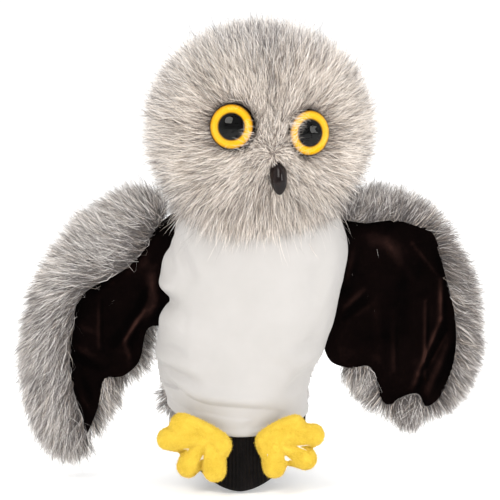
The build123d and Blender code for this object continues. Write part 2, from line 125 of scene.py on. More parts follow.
def ramp(m, stops, interpolation="LINEAR"):
    n = add(m, "ShaderNodeValToRGB")
    n.color_ramp.interpolation = interpolation
    e = n.color_ramp.elements
    while len(e) > 1:
        e.remove(e[-1])
    e[0].position, e[0].color = stops[0][0], (*stops[0][1], 1)
    for pos, col in stops[1:]:
        x = e.new(pos)
        x.color = (*col, 1)
    return n


def noise_node(m, scale, detail=3.0, rough=0.55, vector=None):
    n = add(m, "ShaderNodeTexNoise")
    n.inputs["Scale"].default_value = scale
    n.inputs["Detail"].default_value = detail
    n.inputs["Roughness"].default_value = rough
    if vector is not None:
        link(m, vector, n.inputs["Vector"])
    return n


def obj_coords(m):
    return add(m, "ShaderNodeTexCoord").outputs["Object"]


def bump(m, height, strength=0.3, distance=0.0005, chain=None):
    n = add(m, "ShaderNodeBump")
    n.inputs["Strength"].default_value = strength
    n.inputs["Distance"].default_value = distance
    link(m, height, n.inputs["Height"])
    if chain is not None:
        link(m, chain, n.inputs["Normal"])
    return n.outputs["Normal"]


def bsdf(m):
    return m.node_tree.nodes["Principled BSDF"]


# ---------------------------------------------------------------------- materials
def fur_material(name, root_stops, tip_stops):
    """Strands carry a palette: u picks the strand's shade, v runs root to tip."""
    m = new_material(name, (0.5, 0.5, 0.5), 0.62, Specular_IOR_Level=0.22)
    uv = add(m, "ShaderNodeUVMap", uv_map="OFBake")
    sep = add(m, "ShaderNodeSeparateXYZ")
    link(m, uv.outputs["UV"], sep.inputs[0])
    root, tip = ramp(m, root_stops), ramp(m, tip_stops)
    link(m, sep.outputs["X"], root.inputs[0])
    link(m, sep.outputs["X"], tip.inputs[0])
    along = ramp(m, [(0.0, (0, 0, 0)), (0.28, (0.3, 0.3, 0.3)), (0.7, (0.92, 0.92, 0.92)), (1.0, (1, 1, 1))])
    link(m, sep.outputs["Y"], along.inputs[0])
    mix = add(m, "ShaderNodeMix", data_type="RGBA")
    link(m, along.outputs[0], mix.inputs[0])
    link(m, root.outputs[0], mix.inputs[6])
    link(m, tip.outputs[0], mix.inputs[7])
    link(m, mix.outputs[2], bsdf(m).inputs["Base Color"])
    return m


# u 0-0.5: warm face family, dark to light; u 0.5-1: cool grey family, dark to light
FUR = fur_material(
    "long_pile_fur",
    [(0.0, (0.10, 0.08, 0.07)), (0.2, (0.36, 0.295, 0.25)), (0.49, (0.78, 0.69, 0.61)),
     (0.51, (0.06, 0.055, 0.056)), (0.7, (0.22, 0.2, 0.195)), (1.0, (0.60, 0.56, 0.54))],
    [(0.0, (0.17, 0.14, 0.12)), (0.2, (0.68, 0.6, 0.53)), (0.49, (0.96, 0.90, 0.835)),
     (0.51, (0.11, 0.10, 0.10)), (0.7, (0.50, 0.465, 0.45)), (1.0, (0.96, 0.93, 0.905))],
)


NAP = fur_material(
    "brushed_nap",
    [(0.0, (0.56, 0.36, 0.02)), (1.0, (0.74, 0.52, 0.05))],
    [(0.0, (0.72, 0.50, 0.05)), (1.0, (0.95, 0.74, 0.14))],
)


def cloth_material(name, dark, light, scale, rough=0.9, weave=2600.0, strength=0.35, **inputs):
    """Cloth: slow colour drift over the piece and a fine raised knit."""
    m = new_material(name, light, rough, **inputs)
    co = obj_coords(m)
    drift = noise_node(m, scale, 4.0, 0.6, co)
    tone = ramp(m, [(0.3, dark), (0.7, light)])
    link(m, drift.outputs[0], tone.inputs[0])
    link(m, tone.outputs[0], bsdf(m).inputs["Base Color"])
    fine = noise_node(m, weave, 2.0, 0.5, co)
    link(m, bump(m, fine.outputs[0], strength, 0.0004), bsdf(m).inputs["Normal"])
    return m


def knit_material(name, dark, light, rib, rough=0.85, axis=0, **inputs):
    m = new_material(name, light, rough, **inputs)
    co = obj_coords(m)
    wave = add(m, "ShaderNodeTexWave", wave_type="BANDS", bands_direction="Z")
    wave.inputs["Scale"].default_value = rib
    wave.inputs["Distortion"].default_value = 0.6
    wave.inputs["Detail"].default_value = 2.0
    wave.inputs["Detail Scale"].default_value = 3.0
    link(m, co, wave.inputs["Vector"])
    drift = noise_node(m, 160.0, 4.0, 0.6, co)
    tone = ramp(m, [(0.25, dark), (0.75, light)])
    link(m, drift.outputs[0], tone.inputs[0])
    link(m, tone.outputs[0], bsdf(m).inputs["Base Color"])
    fuzz = noise_node(m, 2200.0, 2.0, 0.6, co)
    first = bump(m, fuzz.outputs[0], 0.5, 0.0003)
    link(m, bump(m, wave.outputs["Fac"], 0.6, 0.0004, first), bsdf(m).inputs["Normal"])
    return m


BELLY = cloth_material("white_plush", (0.445, 0.43, 0.415), (0.485, 0.468, 0.455), 26.0, 0.92, 2600.0, 0.3,
                       Sheen_Weight=0.25, Sheen_Roughness=0.5)
VELVET = new_material("brown_velvet", (0.006, 0.003, 0.003), 0.9, Specular_IOR_Level=0.02,
                      Sheen_Weight=0.045, Sheen_Roughness=0.25, Sheen_Tint=(0.75, 0.4, 0.33, 1))
co = obj_coords(VELVET)
nap_and_highlight = noise_node(VELVET, 70.0, 6.0, 0.7, co)
# painted highlight: a per-vertex value lightens the velvet on its ridges and on slopes facing the key light, mixed with
# a random nap tone
ridge_highlight = add(VELVET, "ShaderNodeAttribute", attribute_name="nap_and_highlight")
mixed = add(VELVET, "ShaderNodeMath", operation="MULTIPLY_ADD")
link(VELVET, nap_and_highlight.outputs[0], mixed.inputs[0])
mixed.inputs[1].default_value = 0.55
link(VELVET, ridge_highlight.outputs["Fac"], mixed.inputs[2])
tone = ramp(VELVET, [(0.30, (0.0008, 0.0004, 0.0004)), (0.52, (0.0026, 0.0012, 0.0011)), (0.74, (0.011, 0.005, 0.0042)),
                     (1.0, (0.042, 0.019, 0.015))])
link(VELVET, mixed.outputs[0], tone.inputs[0])
link(VELVET, tone.outputs[0], bsdf(VELVET).inputs["Base Color"])
pile = noise_node(VELVET, 2500.0, 2.0, 0.6, co)
link(VELVET, bump(VELVET, pile.outputs[0], 0.6, 0.0005), bsdf(VELVET).inputs["Normal"])

KNIT = knit_material("black_knit", (0.003, 0.0028, 0.003), (0.010, 0.008, 0.008), 420.0, 0.8,
                     Specular_IOR_Level=0.08, Sheen_Weight=0.03, Sheen_Roughness=0.5)
FLEECE = cloth_material("yellow_fleece", (0.60, 0.405, 0.025), (0.74, 0.53, 0.05), 120.0, 0.95, 1500.0, 0.7,
                        Sheen_Weight=0.12, Sheen_Roughness=0.6, Sheen_Tint=(1.0, 0.9, 0.4, 1))
UNDER = cloth_material("fur_backing", (0.16, 0.135, 0.12), (0.3, 0.26, 0.23), 200.0, 0.95, 2000.0, 0.5)
UNDER_GREY = cloth_material("fur_backing_grey", (0.09, 0.083, 0.08), (0.2, 0.185, 0.175), 200.0, 0.95, 2000.0, 0.5)
STUFFING = cloth_material("polyester_stuffing", (0.8, 0.8, 0.78), (0.9, 0.9, 0.88), 60.0, 0.95, 900.0, 0.8)
THREAD = cloth_material("thread", (0.68, 0.66, 0.63), (0.8, 0.78, 0.76), 900.0, 0.8, 3000.0, 0.4)

LENS = new_material("clear_dome", (1, 1, 1), 0.015, Transmission_Weight=1.0, IOR=1.27)
IRIS = new_material("amber_iris", (0.9, 0.5, 0.02), 0.3)
BLACK = new_material("gloss_black_plastic", (0.012, 0.008, 0.007), 0.16, Specular_IOR_Level=0.2)
co = obj_coords(BLACK)
mott = noise_node(BLACK, 220.0, 3.0, 0.5, co)
tone = ramp(BLACK, [(0.35, (0.004, 0.0025, 0.0025)), (0.75, (0.012, 0.006, 0.005))])
link(BLACK, mott.outputs[0], tone.inputs[0])
link(BLACK, tone.outputs[0], bsdf(BLACK).inputs["Base Color"])
orange = noise_node(BLACK, 900.0, 2.0, 0.5, co)
link(BLACK, bump(BLACK, orange.outputs[0], 0.05, 0.0002), bsdf(BLACK).inputs["Normal"])
WHITE_PLASTIC = new_material("white_plastic", (0.8, 0.8, 0.79), 0.45)
co = obj_coords(WHITE_PLASTIC)
sp = noise_node(WHITE_PLASTIC, 700.0, 2.0, 0.5, co)
link(WHITE_PLASTIC, bump(WHITE_PLASTIC, sp.outputs[0], 0.15, 0.0002), bsdf(WHITE_PLASTIC).inputs["Normal"])

FLOOR = new_material("floor", (0.93, 0.93, 0.93), 0.9, Emission_Color=(1, 1, 1, 1), Emission_Strength=0.3)
bpy.ops.mesh.primitive_plane_add(size=8.0, location=(0, 0, -0.0285))
floor = bpy.context.object
floor.name = "floor"
floor.data.materials.append(FLOOR)


# --------------------------------------------------------------------- mesh tools
def make(name, co, quads=None, tris=None, mat=None, uv=None, smooth=True):
    """Mesh object from millimetre points; faces are arrays of quads and triangles."""
    me = bpy.data.meshes.new(name)
    quads = np.zeros((0, 4), np.int32) if quads is None else np.asarray(quads, np.int32)
    tris = np.zeros((0, 3), np.int32) if tris is None else np.asarray(tris, np.int32)
    loops = np.concatenate([quads.ravel(), tris.ravel()])
    starts = np.concatenate([np.arange(len(quads)) * 4, len(quads) * 4 + np.arange(len(tris)) * 3])
    me.vertices.add(len(co))
    me.vertices.foreach_set("co", (np.asarray(co, np.float64) * 0.001).astype(np.float32).ravel())
    me.loops.add(len(loops))
    me.loops.foreach_set("vertex_index", loops.astype(np.int32))
    me.polygons.add(len(starts))
    me.polygons.foreach_set("loop_start", starts.astype(np.int32))
    me.update(calc_edges=True)
    if uv is not None:
        layer = me.uv_layers.new(name="OFBake")
        layer.data.foreach_set("uv", np.asarray(uv, np.float32)[loops].ravel())
    me.polygons.foreach_set("use_smooth", np.full(len(starts), smooth))
    me.update()
    ob = bpy.data.objects.new(name, me)
    scene.collection.objects.link(ob)
    if mat is not None:
        me.materials.append(mat)
    return ob


def grid_faces(rows, cols, wrap=False):
    r, c = np.meshgrid(np.arange(rows - 1), np.arange(cols if wrap else cols - 1), indexing="ij")
    n = (c + 1) % cols
    return np.stack([r * cols + c, r * cols + n, (r + 1) * cols + n, (r + 1) * cols + c], -1).reshape(-1, 4)


def modifier(ob, kind, **props):
    m = ob.modifiers.new(kind.lower(), kind)
    for k, v in props.items():
        setattr(m, k, v)
    return m


def apply_all(ob):
    """Bakes the modifiers into the mesh."""
    dg = bpy.context.evaluated_depsgraph_get()
    me = bpy.data.meshes.new_from_object(ob.evaluated_get(dg), depsgraph=dg)
    old = ob.data
    ob.modifiers.clear()
    ob.data = me
    me.name = ob.name
    bpy.data.meshes.remove(old)
    return ob


def unit(v):
    return v / np.maximum(np.linalg.norm(v, axis=-1, keepdims=True), 1e-9)


def spline1(xk, yk):
    """Natural cubic spline through knots, as a function."""
    xk, yk = np.asarray(xk, float), np.asarray(yk, float)
    n = len(xk)
    h = np.diff(xk)
    a = np.zeros((n, n))
    b = np.zeros(n)
    a[0, 0] = a[-1, -1] = 1
    for i in range(1, n - 1):
        a[i, i - 1], a[i, i], a[i, i + 1] = h[i - 1], 2 * (h[i - 1] + h[i]), h[i]
        b[i] = 3 * ((yk[i + 1] - yk[i]) / h[i] - (yk[i] - yk[i - 1]) / h[i - 1])
    c = np.linalg.solve(a, b)
    bb = (yk[1:] - yk[:-1]) / h - h * (2 * c[:-1] + c[1:]) / 3
    d = (c[1:] - c[:-1]) / (3 * h)

    def f(x):
        x = np.clip(x, xk[0], xk[-1])
        i = np.clip(np.searchsorted(xk, x) - 1, 0, n - 2)
        t = x - xk[i]
        return yk[i] + bb[i] * t + c[i] * t * t + d[i] * t**3

    return f


def closed_curve(points, step=1.2, rounds=2):
    """Dense smooth closed outline through 2D points (Catmull-Rom)."""
    p = np.asarray(points, float)
    out = []
    n = len(p)
    for i in range(n):
        p0, p1, p2, p3 = p[i - 1], p[i], p[(i + 1) % n], p[(i + 2) % n]
        k = max(2, int(np.linalg.norm(p2 - p1) / step))
        t = np.linspace(0, 1, k, endpoint=False)[:, None]
        out.append(0.5 * ((2 * p1) + (-p0 + p2) * t + (2 * p0 - 5 * p1 + 4 * p2 - p3) * t**2
                          + (-p0 + 3 * p1 - 3 * p2 + p3) * t**3))
    return np.concatenate(out)


def outline_distance(poly, pts):
    """Signed distance of points to a closed outline (positive inside) and the outward direction."""
    a, b = poly, np.roll(poly, -1, 0)
    best = np.full(len(pts), 1e9)
    near = np.zeros((len(pts), 2))
    inside = np.zeros(len(pts), bool)
    for i in range(len(a)):
        ab = b[i] - a[i]
        t = np.clip(((pts - a[i]) @ ab) / (ab @ ab + 1e-12), 0, 1)
        q = a[i] + t[:, None] * ab
        d = np.linalg.norm(pts - q, axis=1)
        m = d < best
        best[m], near[m] = d[m], q[m]
        cross = (a[i][1] > pts[:, 1]) != (b[i][1] > pts[:, 1])
        xs = a[i][0] + (pts[:, 1] - a[i][1]) * ab[0] / (ab[1] + 1e-12 * (ab[1] == 0))
        inside ^= cross & (pts[:, 0] < xs)
    way = near - pts
    way[~inside] *= -1
    return np.where(inside, best, -best), unit(way)


def fill_outline(poly, cell):
    """Triangle mesh of a closed outline with evenly spread inner points."""
    lo, hi = poly.min(0), poly.max(0)
    gx, gy = np.meshgrid(np.arange(lo[0], hi[0], cell), np.arange(lo[1], hi[1], cell * 0.866))
    gx = gx + (np.arange(gx.shape[0]) % 2)[:, None] * cell * 0.5
    inner = np.stack([gx.ravel(), gy.ravel()], 1)
    d, _ = outline_distance(poly, inner)
    inner = inner[d > cell * 0.55]
    pts = np.concatenate([poly, inner])
    edges = [(i, (i + 1) % len(poly)) for i in range(len(poly))]
    v, _, f, _, _, _ = delaunay_2d_cdt([Vector(p) for p in pts], edges, [], 1, 1e-6)
    return np.array([[p.x, p.y] for p in v]), np.array([list(t) for t in f if len(t) == 3])


def value_noise(p, scale, seed):
    """Smooth pseudo-random field in [-1, 1] at 3D points."""
    q = p / scale + seed * 17.31
    i = np.floor(q).astype(np.int64)
    f = q - i
    f = f * f * (3 - 2 * f)
    out = 0
    for dx in (0, 1):
        for dy in (0, 1):
            for dz in (0, 1):
                k = (i[:, 0] + dx) * 73856093 ^ (i[:, 1] + dy) * 19349663 ^ (i[:, 2] + dz) * 83492791
                k = (k * 2654435761) & 0xFFFFFFFF
                h = ((k >> 8) % 65536) / 32767.5 - 1
                w = (np.where(dx, f[:, 0], 1 - f[:, 0]) * np.where(dy, f[:, 1], 1 - f[:, 1])
                     * np.where(dz, f[:, 2], 1 - f[:, 2]))
                out = out + w * h
    return out


# -------------------------------------------------------------------- fur strands
def strands(name, root, normal, comb, length, width, shade, seed, body=None, mat=FUR, segs=4,
            lift=0.7, splay=0.25, wave=0.18, clump=0.55, per_clump=11, droop=0.0, keep_out=None):
    """Tapered hair ribbons from roots. shade is each strand's place in the palette."""
    rng = np.random.default_rng(seed)
    n = len(root)
    length = np.broadcast_to(length, n) * rng.uniform(0.62, 1.16, n)
    lift = np.broadcast_to(lift, n)[:, None]
    r1 = rng.normal(0, 1, (n, 3))
    r2 = rng.normal(0, 1, (n, 3))
    ts = np.linspace(0, 1, segs + 1)
    pts = np.zeros((segs + 1, n, 3))
    pts[0] = root - normal * 0.6
    for k in range(segs):
        t = (ts[k] + ts[k + 1]) / 2
        d = (normal * lift * (1 - t) ** 0.8 + comb * (0.35 + 0.85 * t) + r1 * splay
             + r2 * wave * (t - 0.3) + np.array([0, 0, -1.0]) * droop * t)
        pts[k + 1] = pts[k] + unit(d) * (length / segs)[:, None]
    if clump and n > 40:
        lead = rng.choice(n, max(3, n // per_clump), replace=False)
        tree = kdtree.KDTree(len(lead))
        for j, i in enumerate(lead):
            tree.insert(root[i] + normal[i] * 8.0, j)
        tree.balance()
        own = np.fromiter((tree.find(p)[1] for p in root + normal * 8.0), np.int64, n)
        pull = clump * rng.uniform(0.35, 1.15, n)
        for k in range(1, segs + 1):
            w = np.clip(pull * ts[k] ** 1.3, 0, 0.93)[:, None]
            pts[k] += (pts[k][lead[own]] - pts[k]) * w
    if keep_out is not None:
        pts = keep_out(pts)
    pts[..., 0] = np.clip(pts[..., 0], -156.0, 161.5)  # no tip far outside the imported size
    side = unit(np.cross(pts[-1] - pts[0], rng.normal(0, 1, (n, 3))))
    w0 = np.broadcast_to(width, n) * rng.uniform(0.7, 1.3, n)
    co = np.zeros((n, 2 * segs + 1, 3))
    uv = np.zeros((n, 2 * segs + 1, 2))
    for k in range(segs):
        half = (w0 * 0.5 * (1 - ts[k] ** 1.6 * 0.75))[:, None] * side
        co[:, 2 * k] = pts[k] - half
        co[:, 2 * k + 1] = pts[k] + half
        uv[:, 2 * k] = np.stack([shade - 0.002, np.full(n, ts[k])], 1)
        uv[:, 2 * k + 1] = np.stack([shade + 0.002, np.full(n, ts[k])], 1)
    co[:, -1] = pts[-1]
    uv[:, -1] = np.stack([shade, np.full(n, 0.999)], 1)
    base = (np.arange(n) * (2 * segs + 1))[:, None]
    q = np.concatenate([base + np.array([2 * k, 2 * k + 1, 2 * k + 3, 2 * k + 2]) for k in range(segs - 1)])
    t3 = base + np.array([2 * segs - 2, 2 * segs - 1, 2 * segs])
    return make(name, co.reshape(-1, 3), q, t3, mat, uv.reshape(-1, 2))


def shades(rng, n, warm, light=0.75, spread=0.22, dark_share=0.16):
    """Palette places: warm is each strand's chance of the warm family, light its mean lightness."""
    v = np.clip(rng.normal(light, spread, n), 0.02, 0.98)
    dark = rng.random(n) < dark_share
    v = np.where(dark, rng.uniform(0.02, 0.3, n), v)
    is_warm = rng.random(n) < warm
    return np.where(is_warm, 0.006 + 0.48 * v, 0.515 + 0.48 * v)



# --------------------------------------------------------------------------- body
# Sleeve sections: height, centre x, half width, half depth (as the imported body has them)
TZ = [4.0, 20.0, 36.0, 61.0, 86.0, 104.5, 122.5, 140.0]
f_cx = spline1(TZ, [0.0, -1.4, -3.0, 1.5, 7.0, 7.8, 10.4, 10.8])
f_a = spline1(TZ, [42.2, 43.2, 46.6, 53.0, 54.5, 57.5, 56.0, 50.0])
f_b = spline1(TZ, [42.4, 42.8, 42.6, 41.0, 39.5, 38.0, 35.0, 30.0])
NECK = np.array([12.4, 0.0])


def hem_z(x):
    return 7.5 + np.where(x < 0, 12.0, 8.0) * np.clip(np.abs(x) / 42.0, 0, 1) ** 2.0


# soft folds in the belly cloth: x0, z0, x1, z1, half width, depth (out is positive)
FOLDS = [
    (-33, 137, -24, 108, 5.0, 1.2), (-41, 130, -29, 104, 4.0, -1.3), (-20, 140, -17, 118, 5.0, -0.8),
    (-52, 90, -38, 85, 4.6, -1.7), (-52, 99, -40, 95, 5.0, 1.6), (-53, 76, -34, 73, 6.5, 1.7),
    (-54, 48, -27, 40, 3.6, -2.0), (-55, 55, -26, 47, 4.5, 1.4), (-52, 37, -26, 25, 3.2, -1.9),
    (-26, 25, 22, 21, 3.4, -1.7), (-30, 33, 16, 29, 4.5, 1.3), (3, 13, 26, 19, 3.0, -1.0),
    (38, 58, 52, 66, 5.0, -1.4), (34, 48, 50, 56, 4.5, 1.3), (30, 34, 44, 44, 3.8, -1.4),
    (58, 112, 50, 80, 5.0, 0.8), (52, 118, 44, 92, 5.0, -0.6), (20, 60, 40, 50, 6.0, 0.7),
    (-53, 44, -38, 33, 1.9, -1.0), (-50, 31, -30, 21, 1.8, -0.9), (-52, 87, -43, 87, 2.2, -0.7),
    (-30, 28, 0, 21, 1.8, -0.7), (-50, 62, -34, 57, 2.4, -0.8), (46, 118, 42, 134, 3.0, -0.9),
    (-30, 136, -27, 118, 2.6, -0.8), (-46, 128, -42, 108, 3.0, -0.9),
]


def fold_height(x, z):
    h = np.zeros_like(x)
    for x0, z0, x1, z1, w, depth in FOLDS:
        ab = np.array([x1 - x0, z1 - z0])
        t = np.clip(((x - x0) * ab[0] + (z - z0) * ab[1]) / (ab @ ab), 0, 1)
        d2 = (x - x0 - t * ab[0]) ** 2 + (z - z0 - t * ab[1]) ** 2
        fade = np.sin(np.pi * np.clip(t * 0.84 + 0.08, 0, 1)) ** 0.7
        h += depth * np.exp(-d2 / (w * w)) * fade
    return h


def body_point(theta, v, inset=0.0, top=138.0, low=None):
    """Point on the sleeve's cloth: theta from the +X side over the front, v hem to neck."""
    c, s = np.cos(theta), np.sin(theta)
    hem = hem_z(f_cx(12.0) + f_a(12.0) * c) if low is None else low
    rim = top - 2.5 * np.abs(s) ** 1.5
    t = np.clip(v / 0.84, 0, 1)
    z = hem + (rim - hem) * t
    u = np.clip((v - 0.84) / 0.16, 0, 1)
    z = z + 3.0 * np.sin(np.pi * np.clip(u, 0, 1)) * (1 - u) - 6.0 * u**1.5 * (1 - np.abs(s))
    a, b = f_a(z) - inset, f_b(z) - inset
    k = 1 - u**1.4 * 0.68
    cx = f_cx(z)
    x = cx + a * c * k + (NECK[0] - cx) * (1 - k)
    y = -b * s * k
    return np.stack([x, y, z], -1)


CUT = {}  # piece: the flat (width, length) and area it was cut to, in metres


def cut_of(p):
    """Width, length and area of a grid of points in mm, as flat cloth in metres."""
    across = float(np.linalg.norm(np.diff(p, axis=1), axis=2).sum(1).max()) * 1e-3
    along = float(np.linalg.norm(np.diff(p, axis=0), axis=2).sum(0).max()) * 1e-3
    area = float(np.linalg.norm(np.cross(p[1:, 1:] - p[:-1, :-1], p[1:, :-1] - p[:-1, 1:]), axis=2).sum()) * 0.5e-6
    return (across, along), min(area, across * along)


def cut_of_outline(outline):
    """The same for an outline in the plane."""
    x, z = outline[:, 0], outline[:, 1]
    w, l = (outline.max(0) - outline.min(0)) * 1e-3
    area = abs(float((x * np.roll(z, -1) - np.roll(x, -1) * z).sum())) * 0.5e-6
    return (float(w), float(l)), area


def body_sheet(name, th0, th1, cols, rows, inset=0.0, fold=1.0, mat=BELLY, thick=1.3):
    th = np.radians(np.linspace(th0, th1, cols))
    v = np.linspace(0, 1, rows)
    V, T = np.meshgrid(v, th, indexing="ij")
    away = np.minimum(np.abs(T - math.pi), np.minimum(T, np.abs(2 * math.pi - T)))
    p = body_point(T, V, inset + (2.6 * np.exp(-(away / R(14)) ** 2) if mat == UNDER_GREY else 0.0))
    CUT[name] = cut_of(p)
    n = np.cross(np.gradient(p, axis=1), np.gradient(p, axis=0))
    n = unit(n)
    out = p - np.stack([f_cx(p[..., 2]), np.zeros_like(T), p[..., 2]], -1)
    n *= np.sign((n * out).sum(-1, keepdims=True))
    flat = p.reshape(-1, 3)
    h = fold * 1.75 * fold_height(flat[:, 0], flat[:, 2]) * (0.3 + 0.7 * np.clip(-flat[:, 1] / 10.0, 0, 1))
    h = np.maximum(h, -3.0 + 2.0 * (flat[:, 2] < 34))
    h += fold * 0.6 * value_noise(flat, 17.0, 3) + fold * 0.18 * value_noise(flat, 6.0, 5)
    edge = np.clip((V.reshape(-1)) / 0.05, 0, 1)
    h = h * (0.35 + 0.65 * edge) + fold * 0.9 * np.exp(-((V.reshape(-1) - 0.012) / 0.012) ** 2)
    flat = flat + n.reshape(-1, 3) * h[:, None]
    ob = make(name, flat, grid_faces(rows, cols)[:, ::-1], mat=mat)
    modifier(ob, "SOLIDIFY", thickness=thick * 0.001, offset=-1.0, use_even_offset=True)
    return apply_all(ob)


belly = body_sheet("belly_cloth", -11, 191, 260, 190)
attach(belly, "torso")
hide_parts("belly_panel")

# back of the body: fur cloth and its pile
back = body_sheet("back_cloth", 184, 356, 120, 80, inset=-0.6, fold=0.3, mat=UNDER_GREY)
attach(back, "torso")
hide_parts("back_fur_panel")

rng = np.random.default_rng(11)
n = int(26000 * DENS)
th = np.radians(rng.uniform(193, 347, n))
v = rng.uniform(0.0, 0.9, n)
seam = np.clip((np.sin(-th) - 0.22) / 0.35, 0, 1)
p = body_point(th, v, -0.6)
n1 = unit(np.stack([np.cos(th) * f_b(p[:, 2]), -np.sin(th) * f_a(p[:, 2]), np.zeros(n)], -1))
down = unit(np.stack([0.1 * np.cos(th) * seam, 0.9 * (1 - seam), -np.ones(n)], -1))
sh = shades(rng, n, 0.15, 0.66, 0.2, 0.2)
sh = np.where(rng.random(n) < 0.5, sh, np.clip(sh - 0.05 * value_noise(p, 16, 4), 0.006, 0.995))
fur = strands("back_fur", p, n1, down, 6.0 + 10.0 * seam, 0.38, sh, 12, lift=0.15 + 0.4 * seam, splay=0.16)
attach(fur, "torso")
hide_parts("back_fur_panel")

# inner lining, seen through the hand opening
lining = body_sheet("sleeve_lining", 0, 360, 120, 50, inset=5.0, fold=0.2, mat=KNIT, thick=0.8)
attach(lining, "torso")
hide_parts("hand_sleeve")


# --------------------------------------------------------------------------- cuff
def cuff_low(theta):
    x = 40.0 * np.cos(theta)
    return -27.0 * (1 - (np.abs(x) / 41.0) ** 1.75)


cols, rows = (900), 74
th = np.linspace(0, 2 * np.pi, cols, endpoint=False)
prof = []  # across the cloth: up the outside, over the top, down the inside, round the hem
V = np.linspace(0, 1, 46)
T, U = np.meshgrid(th, V)
low = cuff_low(T)
z_out = low + (30.0 - low) * U
band = (z_out - low)
r_out = 40.0 + 0.55 * np.clip(1 - np.abs(band - 5.0) / 5.0, 0, 1) ** 0.35 * (band < 10.0) + 0.25
rib = 0.32 * np.sign(np.sin(T * 110)) * np.abs(np.sin(T * 110)) ** 0.7 * np.clip(band / 2.0, 0.0, 1)
sway = 0.5 * np.sin(T * 5 + 1.0) * np.clip(band / 20, 0, 1) + 0.4 * np.sin(T * 9 + z_out * 0.12)
tuck = np.clip((z_out - hem_z(40.0 * np.cos(T)) - 1.0) / 6.0, 0, 1)
r1 = r_out + (rib + sway * 0.6) * (1 - tuck) - 1.5 * tuck
outer = np.stack([r1 * np.cos(T), -r1 * np.sin(T), z_out], -1)
U2 = np.linspace(1, 0, 28)
T2, U2 = np.meshgrid(th, U2)
low2 = cuff_low(T2)
z_in = low2 + (30.0 - low2) * U2
r2 = 38.1 + 0.2 * np.sin(T2 * 110) + 0.2 * np.sin(T2 * 9 + z_in * 0.12)
inner = np.stack([r2 * np.cos(T2), -r2 * np.sin(T2), z_in], -1)
ring = np.concatenate([outer, inner])
faces = grid_faces(ring.shape[0], cols, wrap=True)
close = np.stack([np.arange(cols), (np.arange(cols) + 1) % cols], 1)
last = (ring.shape[0] - 1) * cols
joinq = np.stack([last + close[:, 0], last + close[:, 1], close[:, 1], close[:, 0]], 1)
CUT["cuff_knit"] = cut_of(np.concatenate([outer, outer[:, :1]], 1) * np.array([0.98, 0.98, 1.0]))
cuff = make("cuff_knit", ring.reshape(-1, 3), np.concatenate([faces, joinq])[:, ::-1], mat=KNIT)
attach(cuff, "torso")
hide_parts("cuff")

# neck lining tube
T, U = np.meshgrid(np.linspace(0, 2 * np.pi, 96, endpoint=False), np.linspace(0, 1, 14))
r = 14.2 + 0.35 * np.sin(T * 7 + U * 4) + 0.25 * np.sin(T * 13 - U * 6)
p = np.stack([12.4 + r * np.cos(T), -r * np.sin(T), 106.5 + 18.0 * U], -1).reshape(-1, 3)
CUT["neck_lining"] = (2 * math.pi * 0.0142, 0.018), 2 * math.pi * 0.0142 * 0.018
neck = make("neck_lining", p, grid_faces(14, 96, wrap=True)[:, ::-1], mat=KNIT)
modifier(neck, "SOLIDIFY", thickness=0.001, offset=-1.0)
apply_all(neck)
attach(neck, "neck")
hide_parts("neck_sleeve")

# --------------------------------------------------------------------------- head
HEAD = np.array([12.4, 0.0, 192.6])


def bearing(az, el):
    a, e = R(az), R(el)
    return np.array([math.sin(a) * math.cos(e), -math.cos(a) * math.cos(e), math.sin(e)])


def head_frame(place, out):
    """Origin and axes (across, up, outward) of a place on the head."""
    az, el = place
    a = R(az)
    w = bearing(az, el)
    x = np.array([math.cos(a), math.sin(a), 0.0])
    return HEAD + w * out, x, np.cross(w, x), w


EYE_L, EYE_R, BEAK_AT = (-18.0, 6.4), (31.8, 2.0), (11.7, -23.6)
SKIN = 56.5
FACE_POLE = bearing(8.0, -10.0)


def skin_radius(w):
    """The stuffed head under the fur, a little wider than tall, fuller at the cheeks."""
    r = SKIN * (1.0 + 0.03 * (w[:, 0] ** 2) - 0.012 * (w[:, 2] ** 2) - 0.03 * np.clip(w[:, 1], 0, 1) ** 2)
    for place in (EYE_L, EYE_R):
        off = SKIN * np.linalg.norm(w - bearing(*place), axis=1)
        r = r - 3.8 * np.clip((18.0 - off) / 3.0, 0, 1)
    return r


T, U = np.meshgrid(np.linspace(0, 2 * np.pi, 240, endpoint=False), np.linspace(0.002, 0.92, 130))
phi = U * np.pi
w = np.stack([np.sin(phi) * np.cos(T), np.sin(phi) * np.sin(T), np.cos(phi)], -1).reshape(-1, 3)
p = HEAD + w * (skin_radius(w) - 0.3)[:, None]
head_skin = make("head_cloth", p, grid_faces(130, 240, wrap=True)[:, ::-1], mat=UNDER)
modifier(head_skin, "SOLIDIFY", thickness=0.0012, offset=-1.0)
apply_all(head_skin)
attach(head_skin, "head")
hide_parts("head_face_panel", "head_back_left_panel", "head_back_right_panel")


def eye_keep_out(pts):
    """Strands slide over the domes instead of running through them."""
    for place in (EYE_L, EYE_R):
        o, x, y, w = head_frame(place, 48.55)
        d = pts - o
        r = np.linalg.norm(d, axis=-1, keepdims=True)
        side = (d @ w)[..., None] > 6.5
        pts = np.where((r < 16.8) & side, o + d / np.maximum(r, 1e-6) * 16.9, pts)
    return pts


